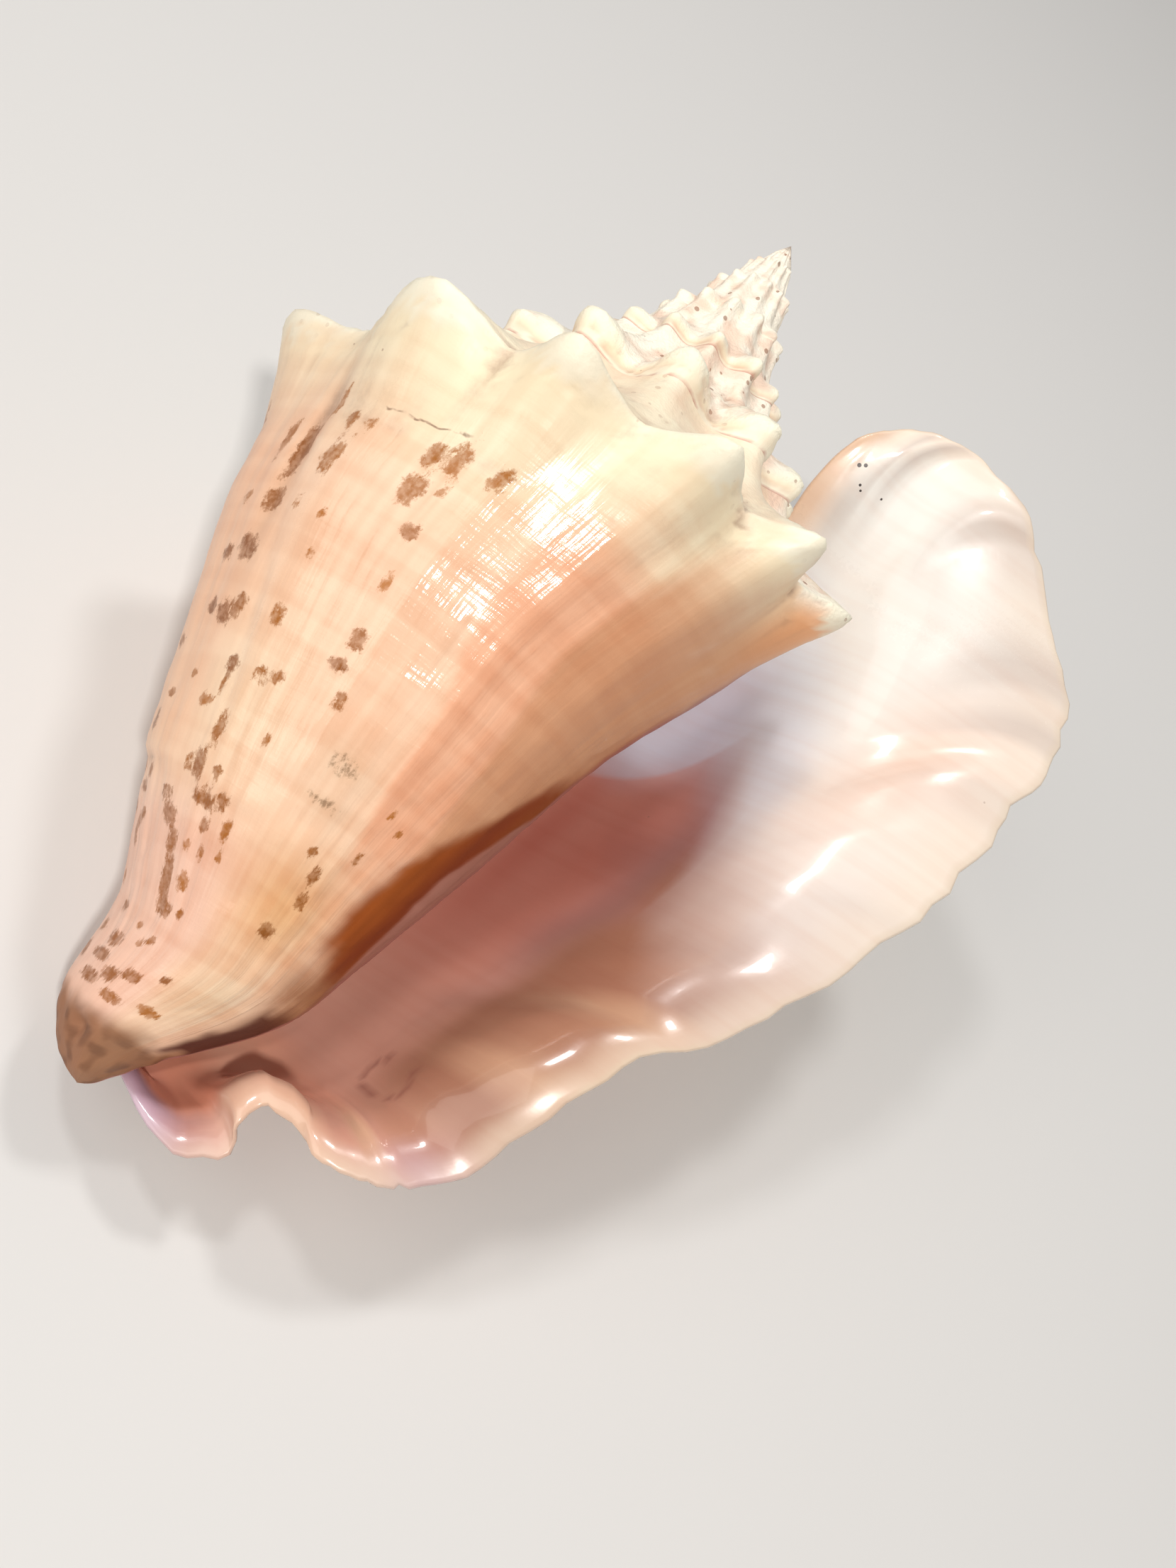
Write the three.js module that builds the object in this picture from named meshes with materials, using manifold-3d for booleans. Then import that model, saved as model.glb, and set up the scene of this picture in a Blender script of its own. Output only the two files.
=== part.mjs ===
// A queen conch shell, grown in one piece and lying on its back with the aperture up.
//
// The shell is one coiled wall. It is worked out first in a growing frame, in millimetres: the apex
// is the origin, +Y runs towards the apex, +X towards the flared lip and +Z towards the aperture
// side, and "depth" is the distance below the apex. Growth is an angle in degrees that rises by 360
// with each turn. Every ring of the coil starts on the turn before it, just under that turn's
// shoulder, and both share the same vertices there, so the whole shell is one closed surface.
import * as THREE from "three";
import { mergeVertices } from "three/addons/utils/BufferGeometryUtils.js";
import Module from "manifold-3d";

// Driving dimensions.
const LENGTH = 214; // apex to the end of the canal
const FIRST_GROWTH = -1500; // the coil starts here; the whorls before it are one small cone
const WALL_GROWTH = 180; // from here on the last whorl is a thin wall around the hollow
const LIP_GROWTH = 330; // here the wall leaves the coil and flares out as the lip
const STEP = 6; // degrees of growth between rings
const TURN = 360 / STEP; // rings in one turn
const LIP_RINGS = 12;
const WALL = 3; // thickness of the wall
const LIP_EDGE = 1.6; // thickness at the margin of the lip
const WORN_FLAT = 0.7; // depth rubbed off where the shell rests

// Shoulder line of the coil: radius and depth grow as exponentials of the number of whorls.
const SHOULDER_WHORL_AT = 120; // growth at which the two sizes below hold
const KNOB_RADIUS = 60;
const KNOB_DEPTH = 71.9;

// Shares of the knob radius: the bare shoulder, the line under it and the knobs.
const SHOULDER = 0.83;
const SHOULDER_DROP = 0.05;
const UNDER = 0.825;
const UNDER_DROP = 0.17;
const KNOB_HEIGHT = 0.185;
const KNOB_WIDTH = 0.15;
const KNOB_GAP = 0.46;
const BROAD_KNOB = 157; // this knob is broader than the others

// Growth at the tip of each knob on the last two whorls; before them they stand 27 degrees apart.
const KNOBS = [
  -306, -276, -243, -210, -180, -150, -123, -93, -66, -36, -9, 19,
  48, 77.5, 103, 132.5, 157, 203, 243, 282, 318, 358, 398,
];
const EARLY_KNOB_SPACING = 27;

// The slight waist above the canal, and the swelling where the lip meets the spire.
const WAIST_DEPTH = 184;
const WAIST_LENGTH = 17;
const CALLUS = 2.4;

// Rings are sampled at these shares: suture to shoulder (at 0.7) to the line under it, and from
// there to the end of the canal, closer together around the notch in the lip.
const SHOULDER_SHARE = 0.7;
const RAMP_ROWS = [0, 0.22, 0.44, 0.6, SHOULDER_SHARE, 0.85, 1];
const BODY_ROWS = [
  0, 0.06, 0.13, 0.21, 0.29, 0.37, 0.45, 0.52, 0.59, 0.65,
  0.71, 0.76, 0.8, 0.84, 0.88, 0.91, 0.94, 0.97, 1,
];
const RAMP_LAST = RAMP_ROWS.length - 1;
const BODY_LAST = BODY_ROWS.length - 1;
const ROWS = RAMP_LAST + BODY_LAST + 1;

// Margin of the lip from the wing beside the spire, round the outer edge, past the notch to the
// lobe beside the canal: x, depth, z, and the share of the way along a ring that ends there.
const MARGIN = [
  [33, 22, 14, 0], [37.5, 17.5, 17.5, 0.04], [43, 14.5, 21.5, 0.08], [48, 13.5, 24, 0.12],
  [54.5, 13.5, 27, 0.16], [63, 16, 31, 0.2], [74.5, 23.5, 34, 0.25], [85, 32, 36, 0.3],
  [95, 40.5, 38, 0.34], [101, 51.5, 38, 0.38], [98.5, 64.5, 39, 0.43], [96, 77, 40, 0.47],
  [92, 94.5, 40, 0.51], [86, 111, 39, 0.55], [77, 129, 38, 0.59], [68, 144.5, 36, 0.63],
  [56, 157, 34, 0.67], [48.5, 169.5, 32, 0.705], [45.5, 182.5, 29, 0.74], [42.5, 191, 26, 0.77],
  [37, 196.5, 24, 0.8], [29.5, 200.5, 22, 0.83], [20.5, 202, 19, 0.86], [17.5, 200, 15, 0.885],
  [12, 200, 8, 0.91], [9.5, 205, 8, 0.935], [11.5, 210.5, 8, 0.955], [6.5, 215, 5, 0.97],
  [-1, 214, 0, 0.985], [-8, 209, -8, 1],
];

// The direction that points up when the shell lies on its back, on two knobs and its canal.
const REST_UP = new THREE.Vector3(-0.364, 0.394, 0.844).normalize();

const rad = THREE.MathUtils.degToRad;
const clamp01 = (x) => Math.min(1, Math.max(0, x));
const mix = (a, b, t) => a + (b - a) * t;

function smooth(from, to, x) {
  const t = clamp01((x - from) / (to - from));
  return t * t * (3 - 2 * t);
}

const bell = (x, middle, width) => Math.exp(-(((x - middle) / width) ** 2));

// Radius and depth of the knob tips.
function knobRadius(growth) {
  const w = (growth - SHOULDER_WHORL_AT) / 360;
  return KNOB_RADIUS * Math.exp(0.559 * w + 0.015 * w * w);
}

function knobDepth(growth) {
  const w = (growth - SHOULDER_WHORL_AT) / 360;
  return KNOB_DEPTH * Math.exp(0.321 * w + 0.012 * w * w + 0.008 * w ** 3);
}

// Distance to the nearest knob, as a share of the knob spacing.
function fromKnob(growth) {
  let phase = (growth - KNOBS[0]) / EARLY_KNOB_SPACING;
  if (growth >= KNOBS[0]) {
    let i = 0;
    while (i < KNOBS.length - 2 && growth >= KNOBS[i + 1]) i += 1;
    phase = i + (growth - KNOBS[i]) / (KNOBS[i + 1] - KNOBS[i]);
  }
  return Math.abs(phase - Math.round(phase));
}

// How far a knob stands out at a distance from the shoulder line, with a low ridge running down
// the body under it. The lip covers the knobs of the turn inside it, so they fade there.
function knobRise(growth, distance, isBelow) {
  const along = (fromKnob(growth) * KNOB_GAP) / (1 + 0.35 * bell(growth, BROAD_KNOB, 16));
  const reach = Math.hypot(along / KNOB_WIDTH, distance / (KNOB_WIDTH + 0.02));
  const cone = Math.exp(-1.3 * reach ** 1.8);
  const ridge = 0.22 * Math.exp(-distance / 0.45) * Math.exp(-((along / 0.13) ** 2));
  const covered = 0.9 * smooth(-55, -32, growth) * (1 - smooth(0, 50, growth));
  const shape = isBelow ? 0.78 * cone + ridge : cone;
  return (1 - covered) * shape * KNOB_HEIGHT * knobRadius(growth);
}

// A point of a ring's section is a radius and a depth. Knobs push it out and a little upwards.
function pushed(radius, depth, rise, lift = 1) {
  return [radius + 0.95 * rise, depth - 0.3 * rise * lift];
}

function underShoulder(growth) {
  const size = knobRadius(growth);
  const rise = knobRise(growth, UNDER_DROP - SHOULDER_DROP, true);
  return pushed(UNDER * size, knobDepth(growth) + UNDER_DROP * size, rise);
}

function quadratic(a, b, c, t) {
  return (1 - t) ** 2 * a + 2 * t * (1 - t) * b + t * t * c;
}

// The ramp from the suture out to the shoulder, and the short drop under it.
function rampPoint(growth, share, knobs) {
  const size = knobRadius(growth);
  const [sutureRadius, sutureDepth] = underShoulder(growth - 360);
  const radius = SHOULDER * size;
  const depth = knobDepth(growth) + SHOULDER_DROP * size;
  if (share <= SHOULDER_SHARE) {
    const t = share / SHOULDER_SHARE;
    const r = quadratic(sutureRadius, mix(sutureRadius, radius, 0.55), radius, t);
    const d = quadratic(sutureDepth, mix(sutureDepth, depth, 0.85), depth, t);
    const rise = knobRise(growth, Math.hypot(radius - r, depth - d) / size, false);
    return pushed(r, d, knobs * rise * clamp01(3 * t));
  }
  const t = (share - SHOULDER_SHARE) / (1 - SHOULDER_SHARE);
  const underDepth = knobDepth(growth) + UNDER_DROP * size;
  const r = quadratic(radius, radius + 0.012 * size, UNDER * size, t);
  const d = quadratic(depth, depth + 0.05 * size, underDepth, t);
  return pushed(r, d, knobs * knobRise(growth, t * (UNDER_DROP - SHOULDER_DROP), true));
}

// The body below the shoulder narrows to the canal as (1 - share of the depth) ^ 0.65. Around the
// hollow the wall stops short of the tip, so the canal is open, and it stands off the columella.
// There is a slight waist above the canal, and a swelling of callus where the lip meets the spire.
function bodyPoint(growth, share, knobs) {
  const size = knobRadius(growth);
  const top = knobDepth(growth) + SHOULDER_DROP * size;
  const start = ((UNDER_DROP - SHOULDER_DROP) * size) / (LENGTH - top);
  const end = 1 - 0.05 * smooth(WALL_GROWTH, WALL_GROWTH + 80, growth);
  const fall = 1 - (1 - share) ** 1.3;
  const drop = mix(start, end, fall);
  const taper = ((1 - drop) / (1 - start)) ** 0.65;
  const canal = 0.5 * smooth(0.55, 0.95, drop) * smooth(WALL_GROWTH, WALL_GROWTH + 90, growth);
  const depth = mix(top, LENGTH, drop);
  const rise = knobs * knobRise(growth, (depth - top) / size, true);
  const waist = 1 - 0.05 * bell(depth, WAIST_DEPTH, WAIST_LENGTH);
  const callus = CALLUS * bell(growth, 44, 17) * bell(depth, 92, 17) * Math.sqrt(fall);
  const radius = UNDER * size * taper * (1 + canal) * waist + callus;
  return pushed(radius, depth, rise, clamp01(1 - 4 * fall));
}

// The axis is straight through the spire, then leans to the left and back towards the canal.
function axisPoint(depth) {
  const waist = 1.6 * bell(depth, WAIST_DEPTH, WAIST_LENGTH);
  const lean = 7.5 * smooth(70, 120, depth) + 8 * smooth(182, 210, depth) - waist;
  const towards = rad(205);
  return new THREE.Vector3(lean * Math.cos(towards), -depth, lean * Math.sin(towards));
}

function around(growth, [radius, depth]) {
  const a = rad(growth);
  const out = new THREE.Vector3(radius * Math.cos(a), 0, radius * Math.sin(a));
  return out.add(axisPoint(depth));
}

// One whole ring, suture to canal, with its knobs at full height (1) or partly smoothed away.
function ring(growth, knobs) {
  const ramp = RAMP_ROWS.map((share) => around(growth, rampPoint(growth, share, knobs)));
  const body = BODY_ROWS.slice(1).map((share) => around(growth, bodyPoint(growth, share, knobs)));
  return ramp.concat(body);
}

// Where each row lies along a ring, as the margin counts it.
const RAMP_PART = 0.25;
const ROW_SHARE = RAMP_ROWS.map((s) => RAMP_PART * s)
  .concat(BODY_ROWS.slice(1).map((s) => mix(RAMP_PART, 1, s)));

// Margin of the lip at a share: a smooth curve through the points, with slopes by differences.
function marginPoint(share) {
  const point = (k) => new THREE.Vector3(MARGIN[k][0], -MARGIN[k][1], MARGIN[k][2]);
  const last = MARGIN.length - 1;
  const slope = (k) => {
    const a = Math.max(k - 1, 0);
    const b = Math.min(k + 1, last);
    return point(b).sub(point(a)).divideScalar(MARGIN[b][3] - MARGIN[a][3]);
  };
  let i = 0;
  while (i < last - 1 && share >= MARGIN[i + 1][3]) i += 1;
  const h = MARGIN[i + 1][3] - MARGIN[i][3];
  const t = (share - MARGIN[i][3]) / h;
  return point(i).multiplyScalar(2 * t ** 3 - 3 * t * t + 1)
    .addScaledVector(slope(i), h * (t ** 3 - 2 * t * t + t))
    .addScaledVector(point(i + 1), 3 * t * t - 2 * t ** 3)
    .addScaledVector(slope(i + 1), h * (t ** 3 - t * t));
}

// Direction in which the lip leaves the coil: along the growth, but outwards and up beside the
// spire, and downwards near the canal.
function leaving(row, after, before) {
  const share = ROW_SHARE[row];
  const wing = 1 - smooth(0.12, 0.36, share);
  const way = after.clone().sub(before).normalize();
  way.add(new THREE.Vector3(0.75, 0.35, -0.25).multiplyScalar(wing));
  way.y -= 0.5 * smooth(0.7, 0.9, share);
  return way.normalize();
}

// Direction in which the lip meets its margin: outwards, up at the wing and down at the canal.
function flaring(share) {
  const wing = Math.exp(-((share / 0.13) ** 2));
  const x = 0.85 - 0.45 * wing - 0.5 * smooth(0.75, 0.95, share);
  const y = 0.9 * wing - 0.8 * smooth(0.72, 0.9, share);
  return new THREE.Vector3(x, y, 0.35).normalize();
}

// Rings of the lip: each row is a cubic curve from the last ring of the coil to the margin. The
// knobs on the last ring fade out along it.
function lipRings(knobs) {
  const root = ring(LIP_GROWTH, 0.25);
  const knobbed = ring(LIP_GROWTH, knobs);
  const after = ring(LIP_GROWTH, 0.3);
  const before = ring(LIP_GROWTH - 1, 0.3);
  const rows = root.map((start, row) => {
    const end = marginPoint(ROW_SHARE[row]);
    const span = start.distanceTo(end);
    const first = start.clone().addScaledVector(leaving(row, after[row], before[row]), 0.42 * span);
    const second = end.clone().addScaledVector(flaring(ROW_SHARE[row]), -0.36 * span);
    return new THREE.CubicBezierCurve3(start, first, second, end);
  });
  return Array.from({ length: LIP_RINGS }, (_, k) => {
    const t = (k + 1) / LIP_RINGS;
    return rows.map((curve, row) => {
      const rise = knobbed[row].clone().sub(root[row]).multiplyScalar((1 - t) ** 2);
      return curve.getPoint(t).add(rise);
    });
  });
}

// Thickness of the wall at a point: thinner in the narrow canal and towards every free edge.
function thickness(point, row, lipShare) {
  const share = ROW_SHARE[row];
  const axis = axisPoint(-point.y);
  const radius = Math.hypot(point.x - axis.x, point.z - axis.z);
  const towardsMargin = smooth(0.6, 1, lipShare);
  const towardsCanalEnd = smooth(0.93, 1, share);
  const towardsWingEdge = lipShare > 0 ? smooth(0.06, 0, share) : 0;
  const thinning = Math.max(towardsMargin, towardsCanalEnd, towardsWingEdge);
  const full = Math.min(mix(WALL, LIP_EDGE, thinning), 0.19 * radius + 0.3);
  return full * (1 - 0.3 * smooth(0.75, 0.9, share));
}

// The inside of the wall: the smoothed outside, moved in along its normals.
function insideRings(rings) {
  const last = rings.length - 1;
  const normalAt = (i, row) => {
    const along = rings[Math.min(i + 1, last)][row].clone().sub(rings[Math.max(i - 1, 0)][row]);
    const down = rings[i][Math.min(row + 1, ROWS - 1)].clone().sub(rings[i][Math.max(row - 1, 0)]);
    return down.cross(along).normalize();
  };
  return rings.map((points, i) => points.map((point, row) => {
    const lipShare = clamp01((i - WALL_RINGS) / LIP_RINGS);
    return point.clone().addScaledVector(normalAt(i, row), thickness(point, row, lipShare));
  }));
}

// Ring numbers.
const LIP_RING = (LIP_GROWTH - FIRST_GROWTH) / STEP;
const WALL_RING = (WALL_GROWTH - FIRST_GROWTH) / STEP;
const WALL_RINGS = LIP_RING - WALL_RING;
const LAST_RING = LIP_RING + LIP_RINGS;

function shellGeometry() {
  const positions = [];
  const faces = [];
  const add = (point) => positions.push(point.x, point.y, point.z) / 3 - 1;
  const triangle = (a, b, c) => {
    if (a !== b && b !== c && c !== a) faces.push(a, b, c);
  };
  const quad = (a, b, c, d) => {
    triangle(a, b, c);
    triangle(a, c, d);
  };

  // Outside: ramp[i] runs from the suture to the line under the shoulder, body[i] on from there.
  // The body of the early turns is hidden under the next turn and isn't made.
  const apex = add(new THREE.Vector3(0, 0, 0));
  const tip = add(axisPoint(LENGTH));
  const ramp = [];
  const body = [];
  const lip = lipRings(1);
  for (let i = 0; i <= LAST_RING; i += 1) {
    const growth = FIRST_GROWTH + STEP * i;
    const isLip = i > LIP_RING;
    const points = isLip ? lip[i - LIP_RING - 1] : ring(growth, 1);
    ramp[i] = points.slice(0, RAMP_LAST + 1).map((point, row) => {
      if (!isLip && row === 0) return i < TURN ? apex : ramp[i - TURN][RAMP_LAST];
      return i < TURN && row < RAMP_LAST ? apex : add(point);
    });
    if (i < WALL_RING - TURN) continue;
    body[i] = points.slice(RAMP_LAST).map((point, row) => {
      if (row === 0) return ramp[i][RAMP_LAST];
      return i <= WALL_RING && row === BODY_LAST ? tip : add(point);
    });
  }

  // Inside of the wall. Its first row stands on the turn before, one row under the suture.
  const smoothRings = [];
  for (let i = WALL_RING; i <= LIP_RING; i += 1) {
    smoothRings.push(ring(FIRST_GROWTH + STEP * i, 0.2));
  }
  const inside = [];
  insideRings(smoothRings.concat(lipRings(0.25))).forEach((points, k) => {
    const i = WALL_RING + k;
    inside[i] = points.map((point, row) => {
      if (row === 0 && i <= LIP_RING) return body[i - TURN][1];
      return row === ROWS - 1 && i === WALL_RING ? tip : add(point);
    });
  });

  // Faces of the first whorls' cone, the ramps, the body and the inside.
  for (let i = 0; i < TURN; i += 1) triangle(apex, ramp[i + 1][RAMP_LAST], ramp[i][RAMP_LAST]);
  for (let row = 0; row < RAMP_LAST; row += 1) triangle(apex, ramp[TURN][row], ramp[TURN][row + 1]);
  for (let i = TURN; i < LAST_RING; i += 1) {
    for (let row = 0; row < RAMP_LAST; row += 1) {
      quad(ramp[i + 1][row], ramp[i + 1][row + 1], ramp[i][row + 1], ramp[i][row]);
    }
  }
  for (let i = WALL_RING - TURN; i < LAST_RING; i += 1) {
    const first = i < LIP_RING - TURN ? 1 : 0; // the wall stands on the first strip of the turn before
    for (let row = first; row < BODY_LAST; row += 1) {
      quad(body[i + 1][row], body[i + 1][row + 1], body[i][row + 1], body[i][row]);
    }
  }
  for (let i = WALL_RING; i < LAST_RING; i += 1) {
    for (let row = 0; row < ROWS - 1; row += 1) {
      quad(inside[i][row + 1], inside[i + 1][row + 1], inside[i + 1][row], inside[i][row]);
    }
    quad(body[i + 1][BODY_LAST], inside[i + 1][ROWS - 1], inside[i][ROWS - 1], body[i][BODY_LAST]);
  }

  // Free edges: the wing's edge beside the spire, and the margin of the lip.
  for (let i = LIP_RING; i < LAST_RING; i += 1) {
    quad(inside[i][0], inside[i + 1][0], ramp[i + 1][0], ramp[i][0]);
  }
  const outer = ramp[LAST_RING].concat(body[LAST_RING].slice(1));
  for (let row = 0; row < ROWS - 1; row += 1) {
    quad(inside[LAST_RING][row], inside[LAST_RING][row + 1], outer[row + 1], outer[row]);
  }

  // The far end of the hollow, where the wall closes on the columella.
  const columella = body[WALL_RING - TURN].slice(1);
  closeBetween(positions, columella, inside[WALL_RING], triangle);

  const geometry = new THREE.BufferGeometry();
  geometry.setAttribute("position", new THREE.Float32BufferAttribute(positions, 3));
  geometry.setIndex(faces);
  return geometry;
}

// Fills the gap between two chains of vertices that share their ends, stepping along whichever
// is behind in its share of the length.
function closeBetween(positions, chainA, chainB, triangle) {
  const at = (id) => new THREE.Vector3().fromArray(positions, 3 * id);
  const shares = (chain) => {
    const along = [0];
    for (let i = 1; i < chain.length; i += 1) {
      along.push(along[i - 1] + at(chain[i]).distanceTo(at(chain[i - 1])));
    }
    return along.map((length) => length / along[chain.length - 1]);
  };
  const shareA = shares(chainA);
  const shareB = shares(chainB);
  let a = 0;
  let b = 0;
  while (a < chainA.length - 1 || b < chainB.length - 1) {
    const isAtEndB = b === chainB.length - 1;
    if (isAtEndB || (a < chainA.length - 1 && shareA[a + 1] < shareB[b + 1])) {
      triangle(chainA[a + 1], chainB[b], chainA[a]);
      a += 1;
    } else {
      triangle(chainB[b + 1], chainB[b], chainA[a]);
      b += 1;
    }
  }
}

// Turns the shell from its growing frame onto its back: REST_UP points up and the apex to +Y.
function restingTurn() {
  const towardsApex = new THREE.Vector3(0, 1, 0).addScaledVector(REST_UP, -REST_UP.y).normalize();
  const towardsLip = new THREE.Vector3().crossVectors(towardsApex, REST_UP);
  return new THREE.Matrix4().makeBasis(towardsLip, towardsApex, REST_UP).transpose();
}

// Rubs small flats where the shell rests, by cutting off whatever is below a level.
function wornFlat(geometry, wasm, level) {
  const merged = mergeVertices(geometry, 1e-3);
  const solid = new wasm.Manifold(new wasm.Mesh({
    numProp: 3,
    vertProperties: merged.attributes.position.array,
    triVerts: new Uint32Array(merged.index.array),
  }));
  const mesh = solid.trimByPlane([0, 0, 1], level).getMesh();
  const worn = new THREE.BufferGeometry();
  worn.setAttribute("position", new THREE.Float32BufferAttribute(mesh.vertProperties, 3));
  worn.setIndex(Array.from(mesh.triVerts));
  return worn;
}

const wasm = await Module();
wasm.setup();

let geometry = shellGeometry().applyMatrix4(restingTurn());
geometry.computeBoundingBox();
geometry = wornFlat(geometry, wasm, geometry.boundingBox.min.z + WORN_FLAT);

// The origin is under the middle of the shell, on the surface it lies on.
geometry.computeBoundingBox();
const { min, max } = geometry.boundingBox;
geometry.translate(-(min.x + max.x) / 2, -(min.y + max.y) / 2, -min.z);
geometry.computeVertexNormals();

const shell = new THREE.Mesh(
  geometry,
  new THREE.MeshStandardMaterial({ color: 0xf0cfae, roughness: 0.35, metalness: 0 }),
);
shell.name = "shell";

const conch = new THREE.Group();
conch.add(shell);
export default conch;
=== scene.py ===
import bpy
import numpy as np
from mathutils import Matrix, Vector


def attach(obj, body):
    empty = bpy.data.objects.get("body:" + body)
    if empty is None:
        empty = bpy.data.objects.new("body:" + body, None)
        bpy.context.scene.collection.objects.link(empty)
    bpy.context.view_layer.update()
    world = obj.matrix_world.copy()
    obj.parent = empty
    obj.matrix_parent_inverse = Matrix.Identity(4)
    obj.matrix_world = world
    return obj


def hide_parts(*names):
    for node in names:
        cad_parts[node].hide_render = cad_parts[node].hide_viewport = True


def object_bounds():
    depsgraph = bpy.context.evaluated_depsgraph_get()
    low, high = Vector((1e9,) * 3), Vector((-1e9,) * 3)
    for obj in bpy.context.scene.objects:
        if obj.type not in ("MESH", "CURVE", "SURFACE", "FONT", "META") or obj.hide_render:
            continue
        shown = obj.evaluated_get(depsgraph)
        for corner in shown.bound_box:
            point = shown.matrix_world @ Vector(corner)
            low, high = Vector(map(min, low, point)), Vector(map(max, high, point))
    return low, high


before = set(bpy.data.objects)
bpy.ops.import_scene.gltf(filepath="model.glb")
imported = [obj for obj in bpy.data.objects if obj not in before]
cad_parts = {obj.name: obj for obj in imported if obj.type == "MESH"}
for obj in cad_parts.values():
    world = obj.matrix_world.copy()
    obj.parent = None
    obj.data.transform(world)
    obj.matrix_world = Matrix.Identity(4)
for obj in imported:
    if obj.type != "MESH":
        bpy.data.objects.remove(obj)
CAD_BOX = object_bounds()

# A queen conch shell lying on its back. The shell is worked out in a growing frame in millimetres:
# the apex is the origin, +y runs towards the apex, +x towards the flared lip, +z towards the
# aperture side, and depth is the distance below the apex. Growth is an angle in degrees that rises
# by 360 with each turn. Share runs along one ring, from 0 at the suture to 1 at the canal, and lip
# share runs from 0 at the last ring of the coil to 1 at the margin of the lip. The sizes are those
# of the solid part, but the turns of the spire are slightly fuller and their knobs less even.

LENGTH = 214.0  # apex to the end of the canal
FIRST_GROWTH, LIP_GROWTH = -2100.0, 330.0  # first ring of the coil and last one
WALL_GROWTH = 180.0  # from here on the shell is hollow
TIP_GROWTH, TIP_SLOPE = -1500.0, 0.634  # before this turn the spire is a straight cone
STEP = 1.5  # degrees from ring to ring
TURN = int(360 / STEP)
LIP_RINGS, LIP_SPREAD = 56, 60.0  # rings across the lip, and the growth they count as
WALL, LIP_EDGE, CANAL_WALL = 3.0, 1.7, 0.19  # the last is a share of the radius

# The radius and depth of the knob tips on one whorl, and how their logarithms rise with the whorls.
WHORL_GROWTH = 120.0
WHORL_RADIUS, RADIUS_RATE, RADIUS_BEND = 60.0, 0.559, 0.015
WHORL_DEPTH, DEPTH_RATE, DEPTH_BEND, DEPTH_TWIST = 71.9, 0.321, 0.012, 0.008

# Shoulder and the line under it: radius and drop as shares of the radius of the knob tips.
SHOULDER, SHOULDER_DROP, UNDER, UNDER_DROP = 0.83, 0.05, 0.825, 0.17
FULLER = 0.03  # added to the line under the shoulder on the spire
KNOB_HEIGHT, KNOB_WIDTH, KNOB_GAP = 0.185, 0.15, 0.46
KNOB_FALL, KNOB_POWER = 1.3, 1.8
KNOB_OUT, KNOB_UP = 0.95, 0.3  # how far a knob pushes out and up for its height
KNOBS = np.array([  # growth angles
    -306, -276, -243, -210, -180, -150, -123, -93, -66, -36, -9, 19,
    48, 77.5, 103, 132.5, 157, 203, 243, 282, 318, 358, 398,
])
EARLY_KNOB_SPACING = 27.0
BROAD_KNOB = 157  # its growth angle
BODY_TAPER, BODY_SPREAD = 0.65, 1.3  # powers of the narrowing below the shoulder and of its rows
WAIST_DEPTH, WAIST_LENGTH, CALLUS = 184, 17, 2.4
LEAN_TOWARDS = 205  # degrees
WORN_MOST = 3.2  # deepest wear of the margin

RAMP_END = 0.25  # share of a ring that its ramp takes
SHOULDER_ROW = 0.7  # share of the ramp at which the shoulder comes
RAMP_ROWS = np.concatenate([np.linspace(0, SHOULDER_ROW, 17), np.linspace(SHOULDER_ROW, 1, 9)[1:]])
BODY_ROWS = np.concatenate([[0.0], np.linspace(0.06, 0.74, 52), np.linspace(0.74, 1, 39)[1:]])
NR = len(RAMP_ROWS) - 1  # the row at the foot of the ramp, where the next turn starts
ROWS = NR + len(BODY_ROWS)
SHARE = np.concatenate([RAMP_ROWS * RAMP_END, RAMP_END + (1 - RAMP_END) * BODY_ROWS[1:]])

# Rings of the coil, the first hollow one, the last one, and the ring at the margin of the lip.
COIL = np.arange(FIRST_GROWTH, LIP_GROWTH + STEP / 2, STEP)
HOLLOW_RING = int(round((WALL_GROWTH - FIRST_GROWTH) / STEP))
LAST_RING = len(COIL) - 1
MARGIN_RING = LAST_RING + LIP_RINGS

# Margin of the lip: x, depth, z, and the share of a ring that ends there.
MARGIN = np.array([
    (33, 22, 14, 0), (37.5, 17.5, 17.5, 0.04), (43, 14.5, 21.5, 0.08), (48, 13.5, 24, 0.12),
    (54.5, 13.5, 27, 0.16), (63, 16, 31, 0.2), (74.5, 23.5, 34, 0.25), (85, 32, 36, 0.3),
    (95, 40.5, 38, 0.34), (101, 51.5, 38, 0.38), (98.5, 64.5, 39, 0.43), (96, 77, 40, 0.47),
    (92, 94.5, 40, 0.51), (86, 111, 39, 0.55), (77, 129, 38, 0.59), (68, 144.5, 36, 0.63),
    (56, 157, 34, 0.67), (48.5, 169.5, 32, 0.705), (45.5, 182.5, 29, 0.74), (42.5, 191, 26, 0.77),
    (37, 196.5, 24, 0.8), (29.5, 200.5, 22, 0.83), (20.5, 202, 19, 0.86), (17.5, 200, 15, 0.885),
    (12, 200, 8, 0.91), (9.5, 205, 8, 0.935), (11.5, 210.5, 8, 0.955), (6.5, 215, 5, 0.97),
    (-1, 214, 0, 0.985), (-8, 209, -8, 1),
])
REST_UP = np.array([-0.364, 0.394, 0.844])  # the way that is up once the shell lies on its back
ORIGIN = np.array([-19.068, 99.2202, 102.3985])  # where the apex comes then
BOX_GAP = 2e-5  # metres kept free inside the solid part's box

NOISE_TABLE = 8192  # random numbers that the noise picks from
NOISE_STEPS = (73856093, 19349663, 83492791)


def smooth(start, end, x):
    """A smooth step: 0 up to start, 1 from end, 3t^2 - 2t^3 between."""
    t = np.clip((x - start) / (end - start), 0, 1)
    return t * t * (3 - 2 * t)


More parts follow.
